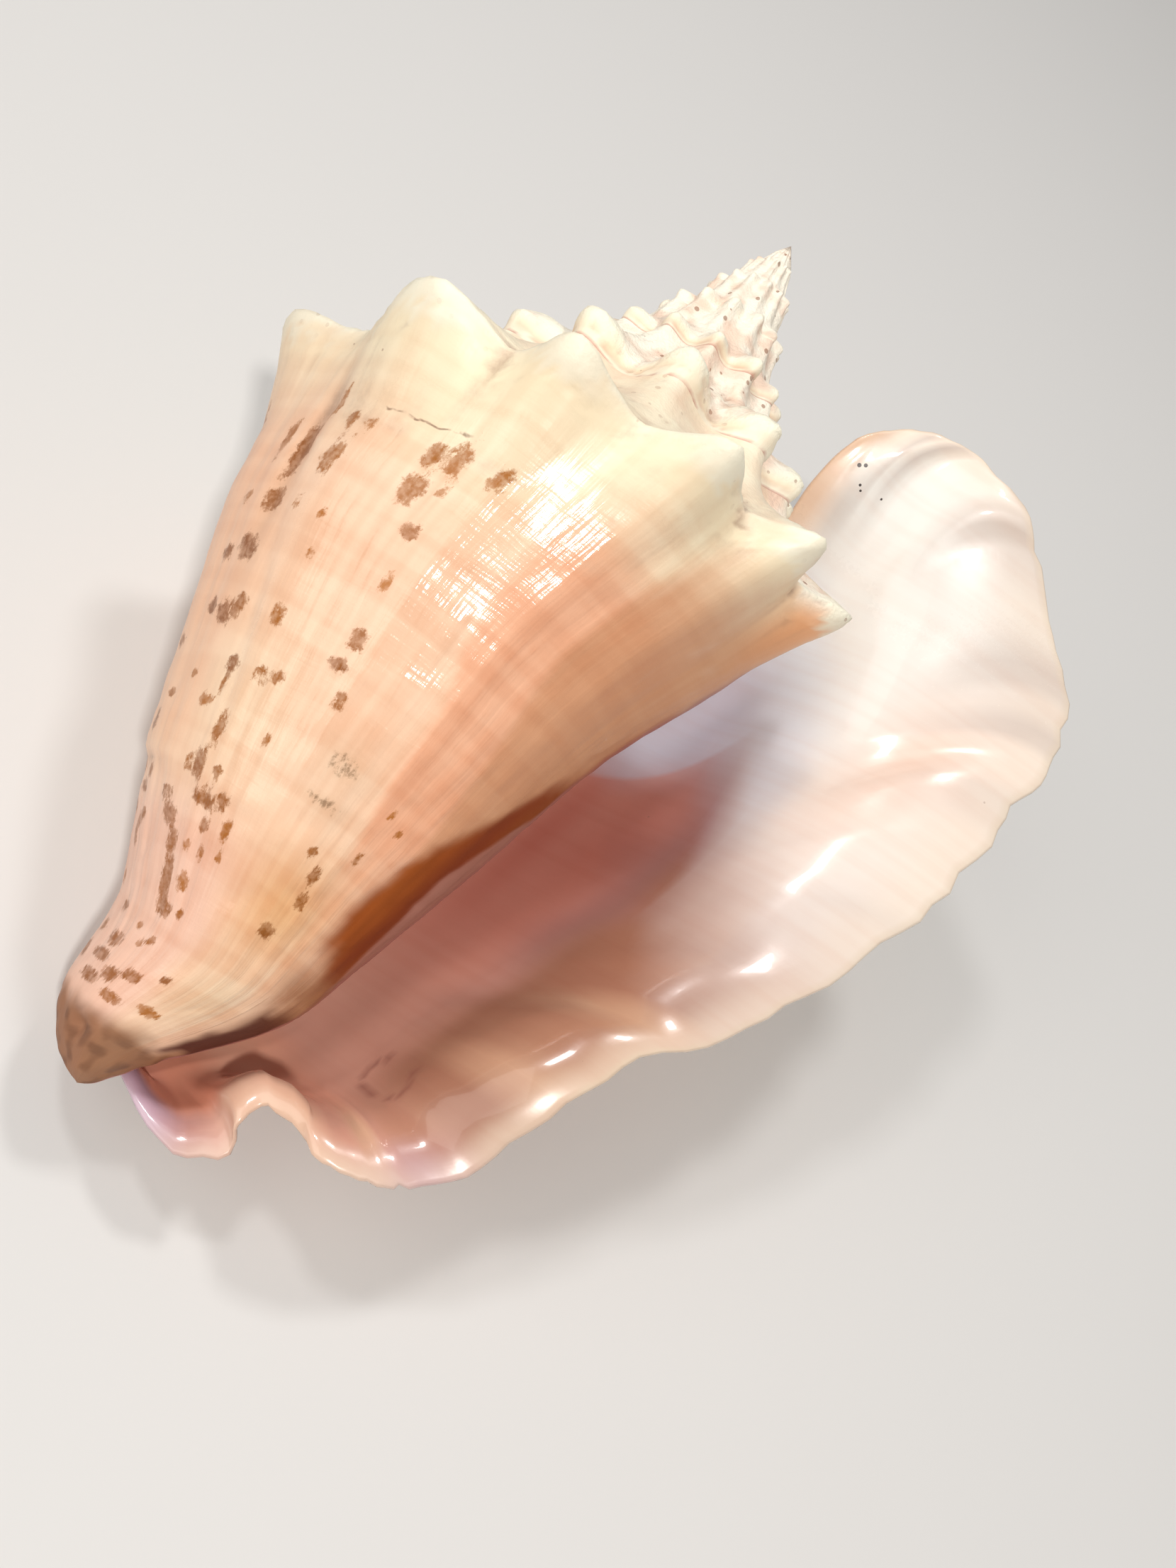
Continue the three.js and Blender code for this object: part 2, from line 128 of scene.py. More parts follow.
def fade(start, end, x):
    """The same step the other way: 1 up to start, 0 from end."""
    return 1 - smooth(start, end, x)


def bell(x, middle, width):
    """A bell curve: exp(-((x - middle) / width)^2)."""
    return np.exp(-(((x - middle) / width) ** 2))


def unit(v):
    """Each vector divided by its length."""
    return v / (np.linalg.norm(v, axis=-1, keepdims=True) + 1e-12)


def noise(points, seed):
    """Smooth noise from -1 to 1: random numbers at whole-numbered corners, blended between."""
    table = np.random.default_rng(seed).uniform(-1, 1, NOISE_TABLE)
    cell = np.floor(points).astype(np.int64)
    t = points - cell
    t = t * t * (3 - 2 * t)
    total = 0.0
    for corner in np.ndindex(2, 2, 2):
        c = (cell + np.array(corner)) * np.array(NOISE_STEPS)
        key = c[..., 0] ^ c[..., 1] ^ c[..., 2]
        weight = np.prod(np.where(np.array(corner) == 1, t, 1 - t), axis=-1)
        total = total + table[key % NOISE_TABLE] * weight
    return total


def waves(x, seed):
    """Smooth noise along one line."""
    return noise(np.stack([x, 0 * x, 0 * x], -1), seed)


def knob_radius(growth):
    """Radius of the knob tips: a cone at the tip, then an exponential of the number of whorls."""
    w = (growth - WHORL_GROWTH) / 360
    coiled = WHORL_RADIUS * np.exp(RADIUS_RATE * w + RADIUS_BEND * w * w)
    return np.where(growth < TIP_GROWTH, TIP_SLOPE * knob_depth(growth), coiled)


def knob_depth(growth):
    """Depth of the knob tips: an exponential of the number of whorls."""
    w = (growth - WHORL_GROWTH) / 360
    return WHORL_DEPTH * np.exp(DEPTH_RATE * w + DEPTH_BEND * w * w + DEPTH_TWIST * w**3)


def knob_rise(growth, distance, is_below):
    """Height of the knobs: exp(-1.3 reach^1.8) around each, and a ridge that runs on below it.

    On the young turns the power is higher, and the knobs vary in place by noise of their number and
    in height by 0.22 times noise. The knobs that the lip lies over are kept low.
    """
    phase = np.interp(growth, KNOBS, np.arange(len(KNOBS)))
    phase = np.where(growth < KNOBS[0], (growth - KNOBS[0]) / EARLY_KNOB_SPACING, phase)
    young = fade(-230, -60, growth)
    phase = phase + 0.07 * young * waves(phase / 2.3, 41)
    along = np.abs(phase - np.round(phase)) * KNOB_GAP / (1 + 0.35 * bell(growth, BROAD_KNOB, 16))
    reach = np.hypot(along / KNOB_WIDTH, distance / (KNOB_WIDTH + 0.02))
    cone = np.exp(-KNOB_FALL * reach ** (KNOB_POWER + 0.5 * young))
    cone = cone * (1 + 0.22 * young * waves(phase / 1.3, 42))
    ridge = 0.22 * np.exp(-distance / 0.45) * np.exp(-((along / 0.13) ** 2))
    covered = 0.9 * smooth(-55, -32, growth) * fade(0, 50, growth)
    shape = np.where(is_below, 0.78 * cone + ridge, cone)
    return (1 - covered) * shape * (KNOB_HEIGHT + 0.05 * early(growth)) * knob_radius(growth)


def pushed(radius, depth, rise, lift=1.0):
    """Knobs push a point out and a little upwards."""
    return radius + KNOB_OUT * rise, depth - KNOB_UP * rise * lift


def under_shoulder(growth):
    """Radius and depth of the line under the shoulder, where the next turn starts."""
    size = knob_radius(growth)
    rise = knob_rise(growth, UNDER_DROP - SHOULDER_DROP, True)
    radius = (UNDER + FULLER * early(growth)) * size
    return pushed(radius, knob_depth(growth) + UNDER_DROP * size, rise)


def quadratic(a, b, c, t):
    """Quadratic curve from a to c, pulled towards b."""
    return (1 - t) ** 2 * a + 2 * t * (1 - t) * b + t * t * c


def early(growth):
    """1 on the turns of the spire, falling to 0 on the last turn."""
    return fade(-130, 0, growth)


def ramp_point(growth, share, knobs):
    """Two quadratic curves: suture to shoulder, then the short drop under it.

    On the spire the shoulder is rounder between the knobs and the knobs stand out further.
    """
    size = knob_radius(growth)
    suture_r, suture_d = under_shoulder(growth - 360)
    spire = early(growth)
    r0, d0 = (SHOULDER - 0.055 * spire) * size, knob_depth(growth) + SHOULDER_DROP * size
    t = np.clip(share / SHOULDER_ROW, 0, 1)
    r1 = quadratic(suture_r, suture_r + (0.55 - 0.1 * spire) * (r0 - suture_r), r0, t)
    d1 = quadratic(suture_d, suture_d + (0.85 - 0.3 * spire) * (d0 - suture_d), d0, t)
    rise1 = knob_rise(growth, np.hypot(r0 - r1, d0 - d1) / size, False) * np.clip(3 * t, 0, 1)
    u = np.clip((share - SHOULDER_ROW) / (1 - SHOULDER_ROW), 0, 1)
    r2 = quadratic(r0, r0 + (0.012 + 0.015 * spire) * size, (UNDER + FULLER * spire) * size, u)
    d2 = quadratic(d0, d0 + 0.05 * size, knob_depth(growth) + UNDER_DROP * size, u)
    rise2 = knob_rise(growth, u * (UNDER_DROP - SHOULDER_DROP), True)
    upper = share <= SHOULDER_ROW
    rise = knobs * np.where(upper, rise1, rise2)
    return pushed(np.where(upper, r1, r2), np.where(upper, d1, d2), rise)


def body_point(growth, share, knobs):
    """Below the shoulder the radius narrows as (1 - drop)^0.65, drop being the share of the depth.

    The canal widens it again, the waist takes 5% off it, and the callus adds a low swelling.
    """
    size = knob_radius(growth)
    top = knob_depth(growth) + SHOULDER_DROP * size
    start = (UNDER_DROP - SHOULDER_DROP) * size / (LENGTH - top)
    end = 1 - 0.05 * smooth(WALL_GROWTH, WALL_GROWTH + 80, growth)
    fall = 1 - (1 - share) ** BODY_SPREAD
    drop = start + (end - start) * fall
    taper = ((1 - drop) / (1 - start)) ** BODY_TAPER
    canal = 0.5 * smooth(0.55, 0.95, drop) * smooth(WALL_GROWTH, WALL_GROWTH + 90, growth)
    depth = top + (LENGTH - top) * drop
    rise = knobs * knob_rise(growth, (depth - top) / size, True)
    waist = 1 - 0.05 * bell(depth, WAIST_DEPTH, WAIST_LENGTH)
    callus = CALLUS * bell(growth, 44, 17) * bell(depth, 92, 17) * np.sqrt(fall)
    radius = UNDER * size * taper * (1 + canal) * waist + callus
    return pushed(radius, depth, rise, np.clip(1 - 4 * fall, 0, 1))


def axis_point(depth):
    """The axis leans to the left and back on its way to the canal."""
    waist = 1.6 * bell(depth, WAIST_DEPTH, WAIST_LENGTH)
    lean = 7.5 * smooth(70, 120, depth) + 8 * smooth(182, 210, depth) - waist
    towards = np.radians(LEAN_TOWARDS)
    return np.stack([lean * np.cos(towards), -depth, lean * np.sin(towards)], -1)


def around(growth, radius, depth):
    """A point at a radius and a depth, turned about the axis by the growth angle."""
    a = np.radians(growth)
    return np.stack([radius * np.cos(a), 0 * a, radius * np.sin(a)], -1) + axis_point(depth)


def rings(growth, knobs):
    """Whole rings, suture to canal, for an array of growth angles."""
    g, s = np.meshgrid(growth, RAMP_ROWS, indexing="ij")
    upper = around(g, *ramp_point(g, s, knobs))
    g, s = np.meshgrid(growth, BODY_ROWS[1:], indexing="ij")
    return np.concatenate([upper, around(g, *body_point(g, s, knobs))], 1)


def smooth_curve(points, at, where):
    """A cubic through the points, with slopes by differences."""
    slope = np.gradient(points, at, axis=0)
    i = np.clip(np.searchsorted(at, where, side="right") - 1, 0, len(at) - 2)
    h = (at[i + 1] - at[i])[:, None]
    t = (where - at[i])[:, None] / h
    return ((2 * t**3 - 3 * t * t + 1) * points[i] + (t**3 - 2 * t * t + t) * h * slope[i]
            + (3 * t * t - 2 * t**3) * points[i + 1] + (t**3 - t * t) * h * slope[i + 1])


def lip_rings(knobs):
    """Rings across the lip: each row is a Bezier curve from the coil's last ring to the margin.

    Its first handle carries on the way the coil grows, with the wing turned up and out, and its
    second one lies along the flare of the margin. Wear takes the margin back along the flare.
    """
    root = rings(np.array([LIP_GROWTH]), 0.25)[0]
    knobbed = rings(np.array([LIP_GROWTH]), knobs)[0]
    pair = rings(np.array([LIP_GROWTH - 1, LIP_GROWTH]), 0.3)
    margin = smooth_curve(MARGIN[:, :3] * [1, -1, 1], MARGIN[:, 3], SHARE)
    way = unit(pair[1] - pair[0])
    way += np.array([0.75, 0.35, -0.25]) * fade(0.12, 0.36, SHARE)[:, None]
    way[:, 1] -= 0.5 * smooth(0.7, 0.9, SHARE)
    wing = np.exp(-((SHARE / 0.13) ** 2))
    flare = np.stack([
        0.85 - 0.45 * wing - 0.5 * smooth(0.75, 0.95, SHARE),
        0.9 * wing - 0.8 * smooth(0.72, 0.9, SHARE),
        0.35 + 0 * SHARE,
    ], 1)
    flare = unit(flare)
    margin -= flare * chips(SHARE)[:, None]
    span = np.linalg.norm(margin - root, axis=1)[:, None]
    first = root + unit(way) * span * 0.42
    second = margin - flare * span * 0.36
    t = (np.arange(1, LIP_RINGS + 1) / LIP_RINGS)[:, None, None]
    curve = (1 - t) ** 3 * root + 3 * t * (1 - t) ** 2 * first
    curve = curve + 3 * t * t * (1 - t) * second + t**3 * margin
    return curve + (knobbed - root) * (1 - t) ** 2


def chips(share):
    """How far the margin is worn back: gentle scallops and small chips, in millimetres."""
    scallops = (0.9 + 0.9 * waves(share * 55, 3)) * smooth(0.1, 0.2, share)
    scallops = scallops * (1 - 0.6 * smooth(0.7, 0.8, share))
    small = np.clip(waves(share * 200, 4) - 0.2, 0, 1) * 1.6 + 0.35 * waves(share * 330, 5)
    return np.clip(0.6 + scallops + small, 0, WORN_MOST)


def blurred(field, passes):
    """Averages each value of a grid with its neighbours, several times."""
    for _ in range(passes):
        p = np.concatenate([field[:1], field, field[-1:]], 0)
        field = (p[:-2] + 2 * p[1:-1] + p[2:]) / 4
        p = np.concatenate([field[:, :1], field, field[:, -1:]], 1)
        field = (p[:, :-2] + 2 * p[:, 1:-1] + p[:, 2:]) / 4
    return field


def outward(grid):
    """Normals of a grid of rings, pointing out of the shell."""
    return unit(np.cross(np.gradient(grid, axis=0), np.gradient(grid, axis=1)))


def sheets():
    """The outer and the inner sheet as grids of rings, and where each point lies on the shell.

    The inner sheet lies a wall's thickness inside the outer one from the first hollow ring on. It
    follows the rings with low knobs, averaged many times over behind the shoulder.
    """
    hollow = slice(HOLLOW_RING, None)
    outer = np.concatenate([rings(COIL, 1.0), lip_rings(1.0)])
    base = np.concatenate([rings(COIL[hollow], 0.2), lip_rings(0.25)])
    lip_growth = LIP_GROWTH + LIP_SPREAD * np.arange(1, LIP_RINGS + 1) / LIP_RINGS
    lip_share = np.clip((np.arange(MARGIN_RING + 1) - LAST_RING) / LIP_RINGS, 0, 1)
    growth, share = np.meshgrid(np.concatenate([COIL, lip_growth]), SHARE, indexing="ij")
    lip_share = lip_share[:, None] + 0 * share

    out = outward(outer)
    out[LAST_RING - 2:] = blurred(out[LAST_RING - 8:], 6)[6:]
    fold = lip_folds(lip_share, share)
    relief = outside_relief(growth, share, outer) * fade(0.9, 1, lip_share)
    outer = outer + unit(out) * (relief + fold)[..., None]

    on_lip, down = lip_share[hollow], share[hollow]
    swell = fold[hollow] + inside_relief(on_lip, base) - wall_thickness(base, on_lip, down)
    inner = base + unit(blurred(outward(base), 14)) * swell[..., None]
    rounded = smooth(0.02, 0.12, down) * fade(0.55, 0.75, down) * fade(0.45, 0.9, on_lip)
    inner = inner + (blurred(inner, 150) - inner) * rounded[..., None]
    outer[HOLLOW_RING, ROWS - 1] = axis_point(np.array(LENGTH))
    return outer, inner, out, growth, share, lip_share


def quads(grid):
    """Two triangles for each cell of a grid of vertex numbers."""
    a, b = grid[:-1, :-1].ravel(), grid[1:, :-1].ravel()
    c, d = grid[1:, 1:].ravel(), grid[:-1, 1:].ravel()
    return np.concatenate([np.column_stack([a, b, c]), np.column_stack([a, c, d])])


def rim_points(outer_edge, inner_edge, before):
    """Three points round each step of the free edge: half an ellipse, 0.45 of the wall deep."""
    away = unit(blurred(unit(outer_edge - before)[:, None], 3)[:, 0])
    width = np.linalg.norm(outer_edge - inner_edge, axis=1)[:, None]
    middle, half = (outer_edge + inner_edge) / 2, (outer_edge - inner_edge) / 2
    bulge = away * width * 0.45
    angles = np.radians([45, 90, 135])
    return np.stack([middle + half * np.cos(a) + bulge * np.sin(a) for a in angles], 1)


def shell_surface():
    """The whole shell as merged vertices and triangles, with the unmerged points that carry paint.

    Rings of points run from the suture round to the canal; a turn shares its first line of points
    with the turn before. A rounded rim joins the outer and the inner sheet along the free edge.
    """
    outer, inner, out, growth, share, lip_share = sheets()
    wall, last, end, n = HOLLOW_RING, LAST_RING, MARGIN_RING, ROWS
    codes = np.arange((end + 1) * n).reshape(end + 1, n)
    inside = np.arange((end + 1 - wall) * n).reshape(-1, n) + codes.size
    same = np.arange(codes.size + inside.size)  # the vertex that each point is merged into
    same[codes[TURN:last + 1, 0]] = codes[:last + 1 - TURN, NR]
    same[codes[:wall + 1, n - 1]] = codes[wall, n - 1]
    same[inside[:last - wall + 1, 0]] = codes[wall - TURN:last + 1 - TURN, NR + 1]
    same[inside[0, n - 1]] = codes[wall, n - 1]

    # the free edge: up the wing, round the margin, along the end of the canal
    edge_out = np.concatenate([codes[last:end, 0], codes[end], codes[wall:end, n - 1][::-1]])
    edge_in = [inside[last - wall:end - wall, 0], inside[-1], inside[:-1, n - 1][::-1]]
    edge_in = np.concatenate(edge_in)
    before = np.concatenate([codes[last:end, 1], codes[end - 1], codes[wall:end, n - 2][::-1]])
    points = np.concatenate([outer.reshape(-1, 3), inner.reshape(-1, 3)])
    round_edge = rim_points(points[same[edge_out]], points[same[edge_in]], points[same[before]])
    middle = np.arange(round_edge.size // 3).reshape(-1, 3) + len(points)
    points = np.concatenate([points, round_edge.reshape(-1, 3), [[0, 0, 0]]])
    apex = len(points) - 1
    same = np.concatenate([same, np.arange(len(same), len(points))])
    rim = np.column_stack([edge_out, middle, edge_in])
    rim[0] = [edge_out[0], edge_out[0], edge_in[0], edge_in[0], edge_in[0]]
    rim[-1] = edge_out[-1]

    cone = np.column_stack([np.full(TURN, apex), codes[1:TURN + 1, NR], codes[:TURN, NR]])
    cap = np.column_stack([np.full(NR, apex), codes[TURN, :NR], codes[TURN, 1:NR + 1]])
    outside = [
        cone, cap, quads(codes[TURN:, :NR + 1]), quads(codes[wall - TURN:, NR + 1:]),
        quads(codes[last - TURN:, NR:NR + 2]),
    ]
    within = [
        quads(inside)[:, ::-1], quads(rim)[:, ::-1],
        between(points, same[codes[wall - TURN, NR + 1:]], same[inside[0]]),
    ]
    tris = np.concatenate(outside + within)
    kinds = np.repeat([0, 1], [sum(map(len, outside)), sum(map(len, within))])
    real = same[tris]
    keep = (real[:, 0] != real[:, 1]) & (real[:, 1] != real[:, 2]) & (real[:, 2] != real[:, 0])
    tris, real, kinds = tris[keep], real[keep], kinds[keep]
    used, compact = np.unique(real, return_inverse=True)

    def at_points(field, start):
        """The field at every unmerged point: outer sheet, inner sheet, rim and apex."""
        round_rim = np.repeat(field.ravel()[edge_out], 3)
        return np.concatenate([field.ravel(), field[wall:].ravel(), round_rim, [start]])

    is_inner = np.concatenate([np.zeros(codes.size), np.ones(inside.size + middle.size), [0]]) > 0
    hollow = np.zeros(len(points))
    hollow[:codes.size] = hollows(outer, out).ravel()
    place = dict(
        growth=at_points(growth, FIRST_GROWTH), share=at_points(share, 0.0),
        lip=at_points(lip_share, 0.0), points=points, inner=is_inner, hollow=hollow,
    )
    return points[used], compact.reshape(-1, 3), tris, kinds, place


def hollows(grid, normals):
    """How hollow the surface is: how far its local average lies outside it, in millimetres."""
    hollow = np.clip(((blurred(grid, 5) - grid) * unit(normals)).sum(-1), -1, 1)
    hollow[:2 * TURN] = 0
    return hollow


def between(points, first, second):
    """Closes two chains that share their ends, stepping along whichever is behind."""
    def shares(chain):
        """How far along the chain each of its steps ends, as a share of its length."""
        step = np.linalg.norm(np.diff(points[chain], axis=0), axis=1)
        return np.cumsum(step) / step.sum()

    order = np.argsort(np.concatenate([shares(first), shares(second)]), kind="stable")
    is_first = order < len(first) - 1
    a = np.cumsum(is_first) - is_first
    b = np.cumsum(~is_first) - ~is_first
    next_first = first[np.minimum(a + 1, len(first) - 1)]
    next_second = second[np.minimum(b + 1, len(second) - 1)]
    third = np.where(is_first, next_first, next_second)
    return np.column_stack([third, second[b], first[a]])


def wall_thickness(grid, lip_share, share):
    """Thinner in the narrow canal and towards every free edge."""
    axis = axis_point(-grid[..., 1])
    radius = np.hypot(grid[..., 0] - axis[..., 0], grid[..., 2] - axis[..., 2])
    wing = np.where(lip_share > 0, fade(0, 0.06, share), 0)
    thinning = np.maximum(np.maximum(smooth(0.6, 1, lip_share), smooth(0.93, 1, share)), wing)
    full = np.minimum(WALL + (LIP_EDGE - WALL) * thinning, CANAL_WALL * radius + 0.3)
    return full * (1 - 0.3 * smooth(0.75, 0.9, share))


def glaze_edge(depth):
    """Growth angle where the outer and the inner layer of glaze beside the aperture end."""
    outer = np.interp(depth, [80, 107, 120, 128, 145, 160, 180], [116, 113, 111, 106, 104, 98, 92])
    inner = np.interp(depth, [70, 87, 110, 125, 150, 175], [84, 90, 92, 87, 80, 74])
    return outer, inner


def outside_relief(growth, share, points):
    """Growth lines, spiral cords and the grooves and steps of the outside, in millimetres.

    The whole body carries slow waves across the growth, cords along it and a mottled unevenness.
    The glaze beside the aperture ends in two steps, and a groove, a pleat and a ledge follow it.
    The spire is lumpy, furrowed and pitted, and the end of the canal is notched and worn.
    """
    depth = -points[..., 1]
    size = np.clip(knob_radius(growth) / WHORL_RADIUS, 0.05, 1.2)
    body = smooth(0.22, 0.3, share)
    last_turn = smooth(20, 50, growth)
    wave = 0.16 * waves(growth / 7 + depth / 90, 11) + 0.1 * waves(growth / 2.6 + depth / 60, 12)
    cords = 0.12 * waves(depth / 3.4 / size + growth / 200, 13)
    cords = cords + 0.07 * waves(depth / 1.7 / size, 14)
    mottled = 0.12 * noise(np.stack([growth / 4, depth / 3, 0 * growth], -1), 15)
    mottled = mottled + 0.16 * noise(np.stack([growth / 13, depth / 9, 0 * growth], -1), 18) * body
    top, under = glaze_edge(depth)
    steps = 0.28 * fade(-1, 1, growth - top) * smooth(84, 96, depth) * fade(150, 165, depth)
    steps = steps + 0.2 * fade(-1.2, 1.2, growth - under) * smooth(78, 92, depth)
    groove = -1.1 * bell(growth, 175 - 0.05 * (depth - 80), 3.2)
    groove = groove * smooth(74, 84, depth) * fade(108, 132, depth)
    pleat = -0.35 * bell(growth, 167 - 0.3 * (depth - 120), 2)
    pleat = pleat * smooth(95, 110, depth) * fade(165, 185, depth)
    ledge = 0.3 + 0.8 * smooth(168, 186, growth) * bell(depth, 161, 9)
    ledge = ledge * fade(-0.8, 0.8, depth - 162 - 0.04 * (140 - growth))
    ledge = ledge * smooth(96, 118, growth) * fade(200, 230, growth)
    near = body * last_turn * (groove + pleat + steps + ledge)
    off_suture = smooth(0.02, 0.06, share) * (1 - body)
    lumps = 1.1 * noise(points / 4.5, 43) + 0.5 * noise(points / 2.2, 44)
    furrows = 0.7 * waves(growth / 4.5 + share * 3, 19) * smooth(0.01, 0.05, share)
    chalky = (0.22 * noise(points / 1.1, 16) + lumps * fade(-60, 30, growth)) * off_suture
    chalky = chalky + furrows * fade(0.1, 0.16, share) * fade(-20, 40, growth)
    pits = -0.5 * (1 - body) * np.clip(noise(points / 1.4, 17) - 0.4, 0, 1) * 2
    slender = fade(182, 202, depth)
    notch = -1.6 * bell(growth, 163, 16) * bell(depth, 206, 2) * last_turn * body
    wear_and_ridge_highlight = 0.45 * noise(points / 3.2, 35) * smooth(196, 204, depth)
    soft = (wave + mottled) * slender + cords * (0.3 + 0.7 * slender)
    soft = soft * size * (0.45 + 0.55 * body)
    return soft + near * slender + notch + wear_and_ridge_highlight + (chalky + pits) * size


def lip_folds(lip_share, share):
    """Soft radial folds of the lip, growing towards the margin, and one sharper crease in it."""
    grown = smooth(0.45, 1, lip_share)
    side = 1.1 * waves(share * 34 + 0.6 * lip_share, 21) * smooth(0.1, 0.18, share)
    crease = 0.8 * bell(share, 0.5 - 0.11 * lip_share, 0.013)
    crease = crease - 0.5 * bell(share, 0.53 - 0.11 * lip_share, 0.02)
    side = side + crease * smooth(0.5, 0.7, lip_share)
    front = 0.35 * waves(share * 38 + 0.3 * lip_share, 22) * smooth(0.5, 0.6, share)
    return grown * (side + front) * (1 - 0.75 * smooth(0.78, 0.84, share))


def inside_relief(lip_share, points):
    """Slow swells of the glossy inner sheet."""
    on_lip = smooth(0.3, 0.7, lip_share)
    return 0.35 * noise(points / 17, 23) + 0.12 * noise(points / 7, 24) * on_lip


def to_world(points):
    """Turns the shell onto its back, in metres, with its origin under the middle of its box."""
    up = REST_UP / np.linalg.norm(REST_UP)
    towards_apex = unit(np.array([0, 1, 0]) - up * up[1])
    towards_lip = np.cross(towards_apex, up)
    turn = np.stack([towards_lip, towards_apex, up])
    return (points @ turn.T + ORIGIN) / 1000, turn


def tone(code):
    """A six-digit sRGB colour as linear light."""
    value = np.array([int(code[i:i + 2], 16) for i in (0, 2, 4)]) / 255
    return np.where(value < 0.04045, value / 12.92, ((value + 0.055) / 1.055) ** 2.4)


def over(colour, code, amount):
    """Lays one paint over another, by an amount from 0 to 1."""
    return colour + (tone(code) - colour) * np.clip(amount, 0, 1)[..., None]


def painted_over(colour, *coats):
    """Lays paints over a colour one after the other, each by its own amount."""
    for code, amount in coats:
        colour = over(colour, code, amount)
    return colour


HIDDEN_MARKS = 150
MARK_POWER = 2.6  # of the rounded squares that the marks are

# Brown marks on the last turn: growth angle, depth, half width in degrees, half height, darkness.
MARKS = np.array([
    (124, 78, 1, 5, 0.5), (141, 80, 1, 1, 0.4), (149, 82, 0.8, 1, 0.3), (129, 96, 1.6, 2.4, 0.4),
    (138, 96.5, 2, 2.8, 0.4), (143, 97.5, 2, 2.4, 0.5), (136, 101.5, 0.9, 1.4, 0.3),
    (142, 104, 2.6, 3.2, 0.5), (158, 98, 1, 1.2, 0.4), (163, 98, 1.4, 1.8, 0.5),
    (162, 105, 2.6, 3, 0.5), (170, 96, 1, 2, 0.3), (174, 104.5, 2.4, 6, 0.9),
    (181, 103, 1.4, 4, 0.5), (182, 91, 0.8, 4.5, 0.5), (192, 91.5, 2.4, 1.1, 0.7),
    (185, 84, 1.4, 1, 0.5), (202, 97, 2.4, 2, 0.8), (136, 110, 1.8, 1.6, 0.7),
    (134, 119, 0.8, 2, 0.2), (156, 114, 1, 1, 0.3), (164, 114, 1.2, 1.2, 0.3),
    (174, 114.5, 3.2, 2.3, 0.8), (185, 115, 1.8, 1.3, 0.4), (154, 121, 1, 0.9, 0.4),
    (175, 123.5, 3.8, 2.3, 1), (184, 125, 3, 1.4, 0.9), (133, 129, 2.2, 1.9, 0.7),
    (134, 134, 3, 1.1, 0.9), (129, 138.5, 1.6, 1.5, 0.7), (155, 132, 2, 1.8, 0.5),
    (169, 133, 2.2, 2, 0.7), (174, 135, 3.4, 1.9, 0.9), (181, 134.5, 2.6, 1.5, 1),
    (147, 140.5, 1.5, 1.1, 0.6), (152, 141.5, 2.4, 1.2, 0.6), (163, 142, 1.9, 1.5, 1),
    (163, 145.5, 0.7, 1.8, 0.6), (178, 146, 1.5, 0.8, 0.4), (168, 149, 3.2, 1.1, 0.4),
    (142, 150, 1, 1.3, 0.5), (196, 141, 4, 1.3, 0.7), (188, 150, 2.4, 0.8, 0.6),
    (91, 150, 1, 0.8, 0.5), (97, 148, 1, 1, 0.3), (96, 157, 1.5, 1.2, 0.6),
    (158, 152, 1.8, 2.8, 0.7), (111, 160.5, 1.8, 1.1, 0.7), (105.5, 163.5, 2, 1.8, 0.9),
    (103, 168, 2.2, 1.5, 0.9), (153, 158.5, 2, 1, 0.7), (161, 158.5, 3, 2.2, 0.8),
    (166, 159.5, 1.4, 1.1, 0.5), (147, 162, 3, 1.3, 0.8), (155, 163, 5, 1.3, 0.8),
    (142, 165.5, 1.5, 2, 0.5), (151, 166.5, 2.2, 1.3, 0.8), (174, 165, 4, 1, 0.8),
    (191, 163, 3, 1.2, 0.7), (198, 165.5, 5, 1, 0.8), (195, 155, 3, 2.2, 1),
    (169, 168, 4.6, 1.5, 0.8), (165, 171.5, 3, 2.2, 0.7), (163, 177, 3.8, 3.4, 0.7),
    (160, 181.3, 6, 1.4, 0.7), (141, 169.5, 1.4, 0.9, 0.4), (149, 171, 1.6, 1, 0.6),
    (156, 171, 1.5, 0.8, 0.4), (191, 170, 3, 1.1, 0.7), (198, 170.5, 2.6, 1, 0.7),
    (200, 173, 2.2, 2, 0.8), (109, 175, 4, 1.3, 0.9), (153, 176, 3, 1.4, 0.4),
    (149, 180.8, 2, 0.9, 0.6), (193, 184.5, 5, 0.9, 0.7), (157, 187, 2.6, 0.8, 0.6),
    (163, 188.3, 3, 0.7, 0.5), (171, 186, 2.4, 0.7, 0.5), (132, 191, 4, 0.8, 0.9),
    (185, 190, 9, 1.2, 0.8), (150, 193.6, 8, 1, 0.8), (165, 195.4, 9, 1.2, 0.8),
    (188, 193.5, 12, 1, 0.8), (183, 197.5, 14, 1.1, 0.8), (150, 198.5, 12, 0.9, 0.6),
    (120, 197, 9, 0.8, 0.4), (117, 203, 6, 0.8, 0.7), (130, 204, 6, 0.8, 0.7),
])


def hidden_marks():
    """More marks of the same kind, in 11 rows, for the back of the last turn and of the lip."""
    rng = np.random.default_rng(7)
    row = rng.integers(0, 11, HIDDEN_MARKS)
    growth = 205 + rng.beta(1, 1.1, HIDDEN_MARKS) * 180
    depth = 88 + row * 10.5 + rng.normal(0, 1.5, HIDDEN_MARKS)
    wide = rng.uniform(0.8, 3.6, HIDDEN_MARKS) * (1 + smooth(165, 200, depth))
    high = rng.uniform(0.9, 2.6, HIDDEN_MARKS)
    return np.stack([growth, depth, wide, high, rng.uniform(0.3, 0.95, HIDDEN_MARKS)], 1)


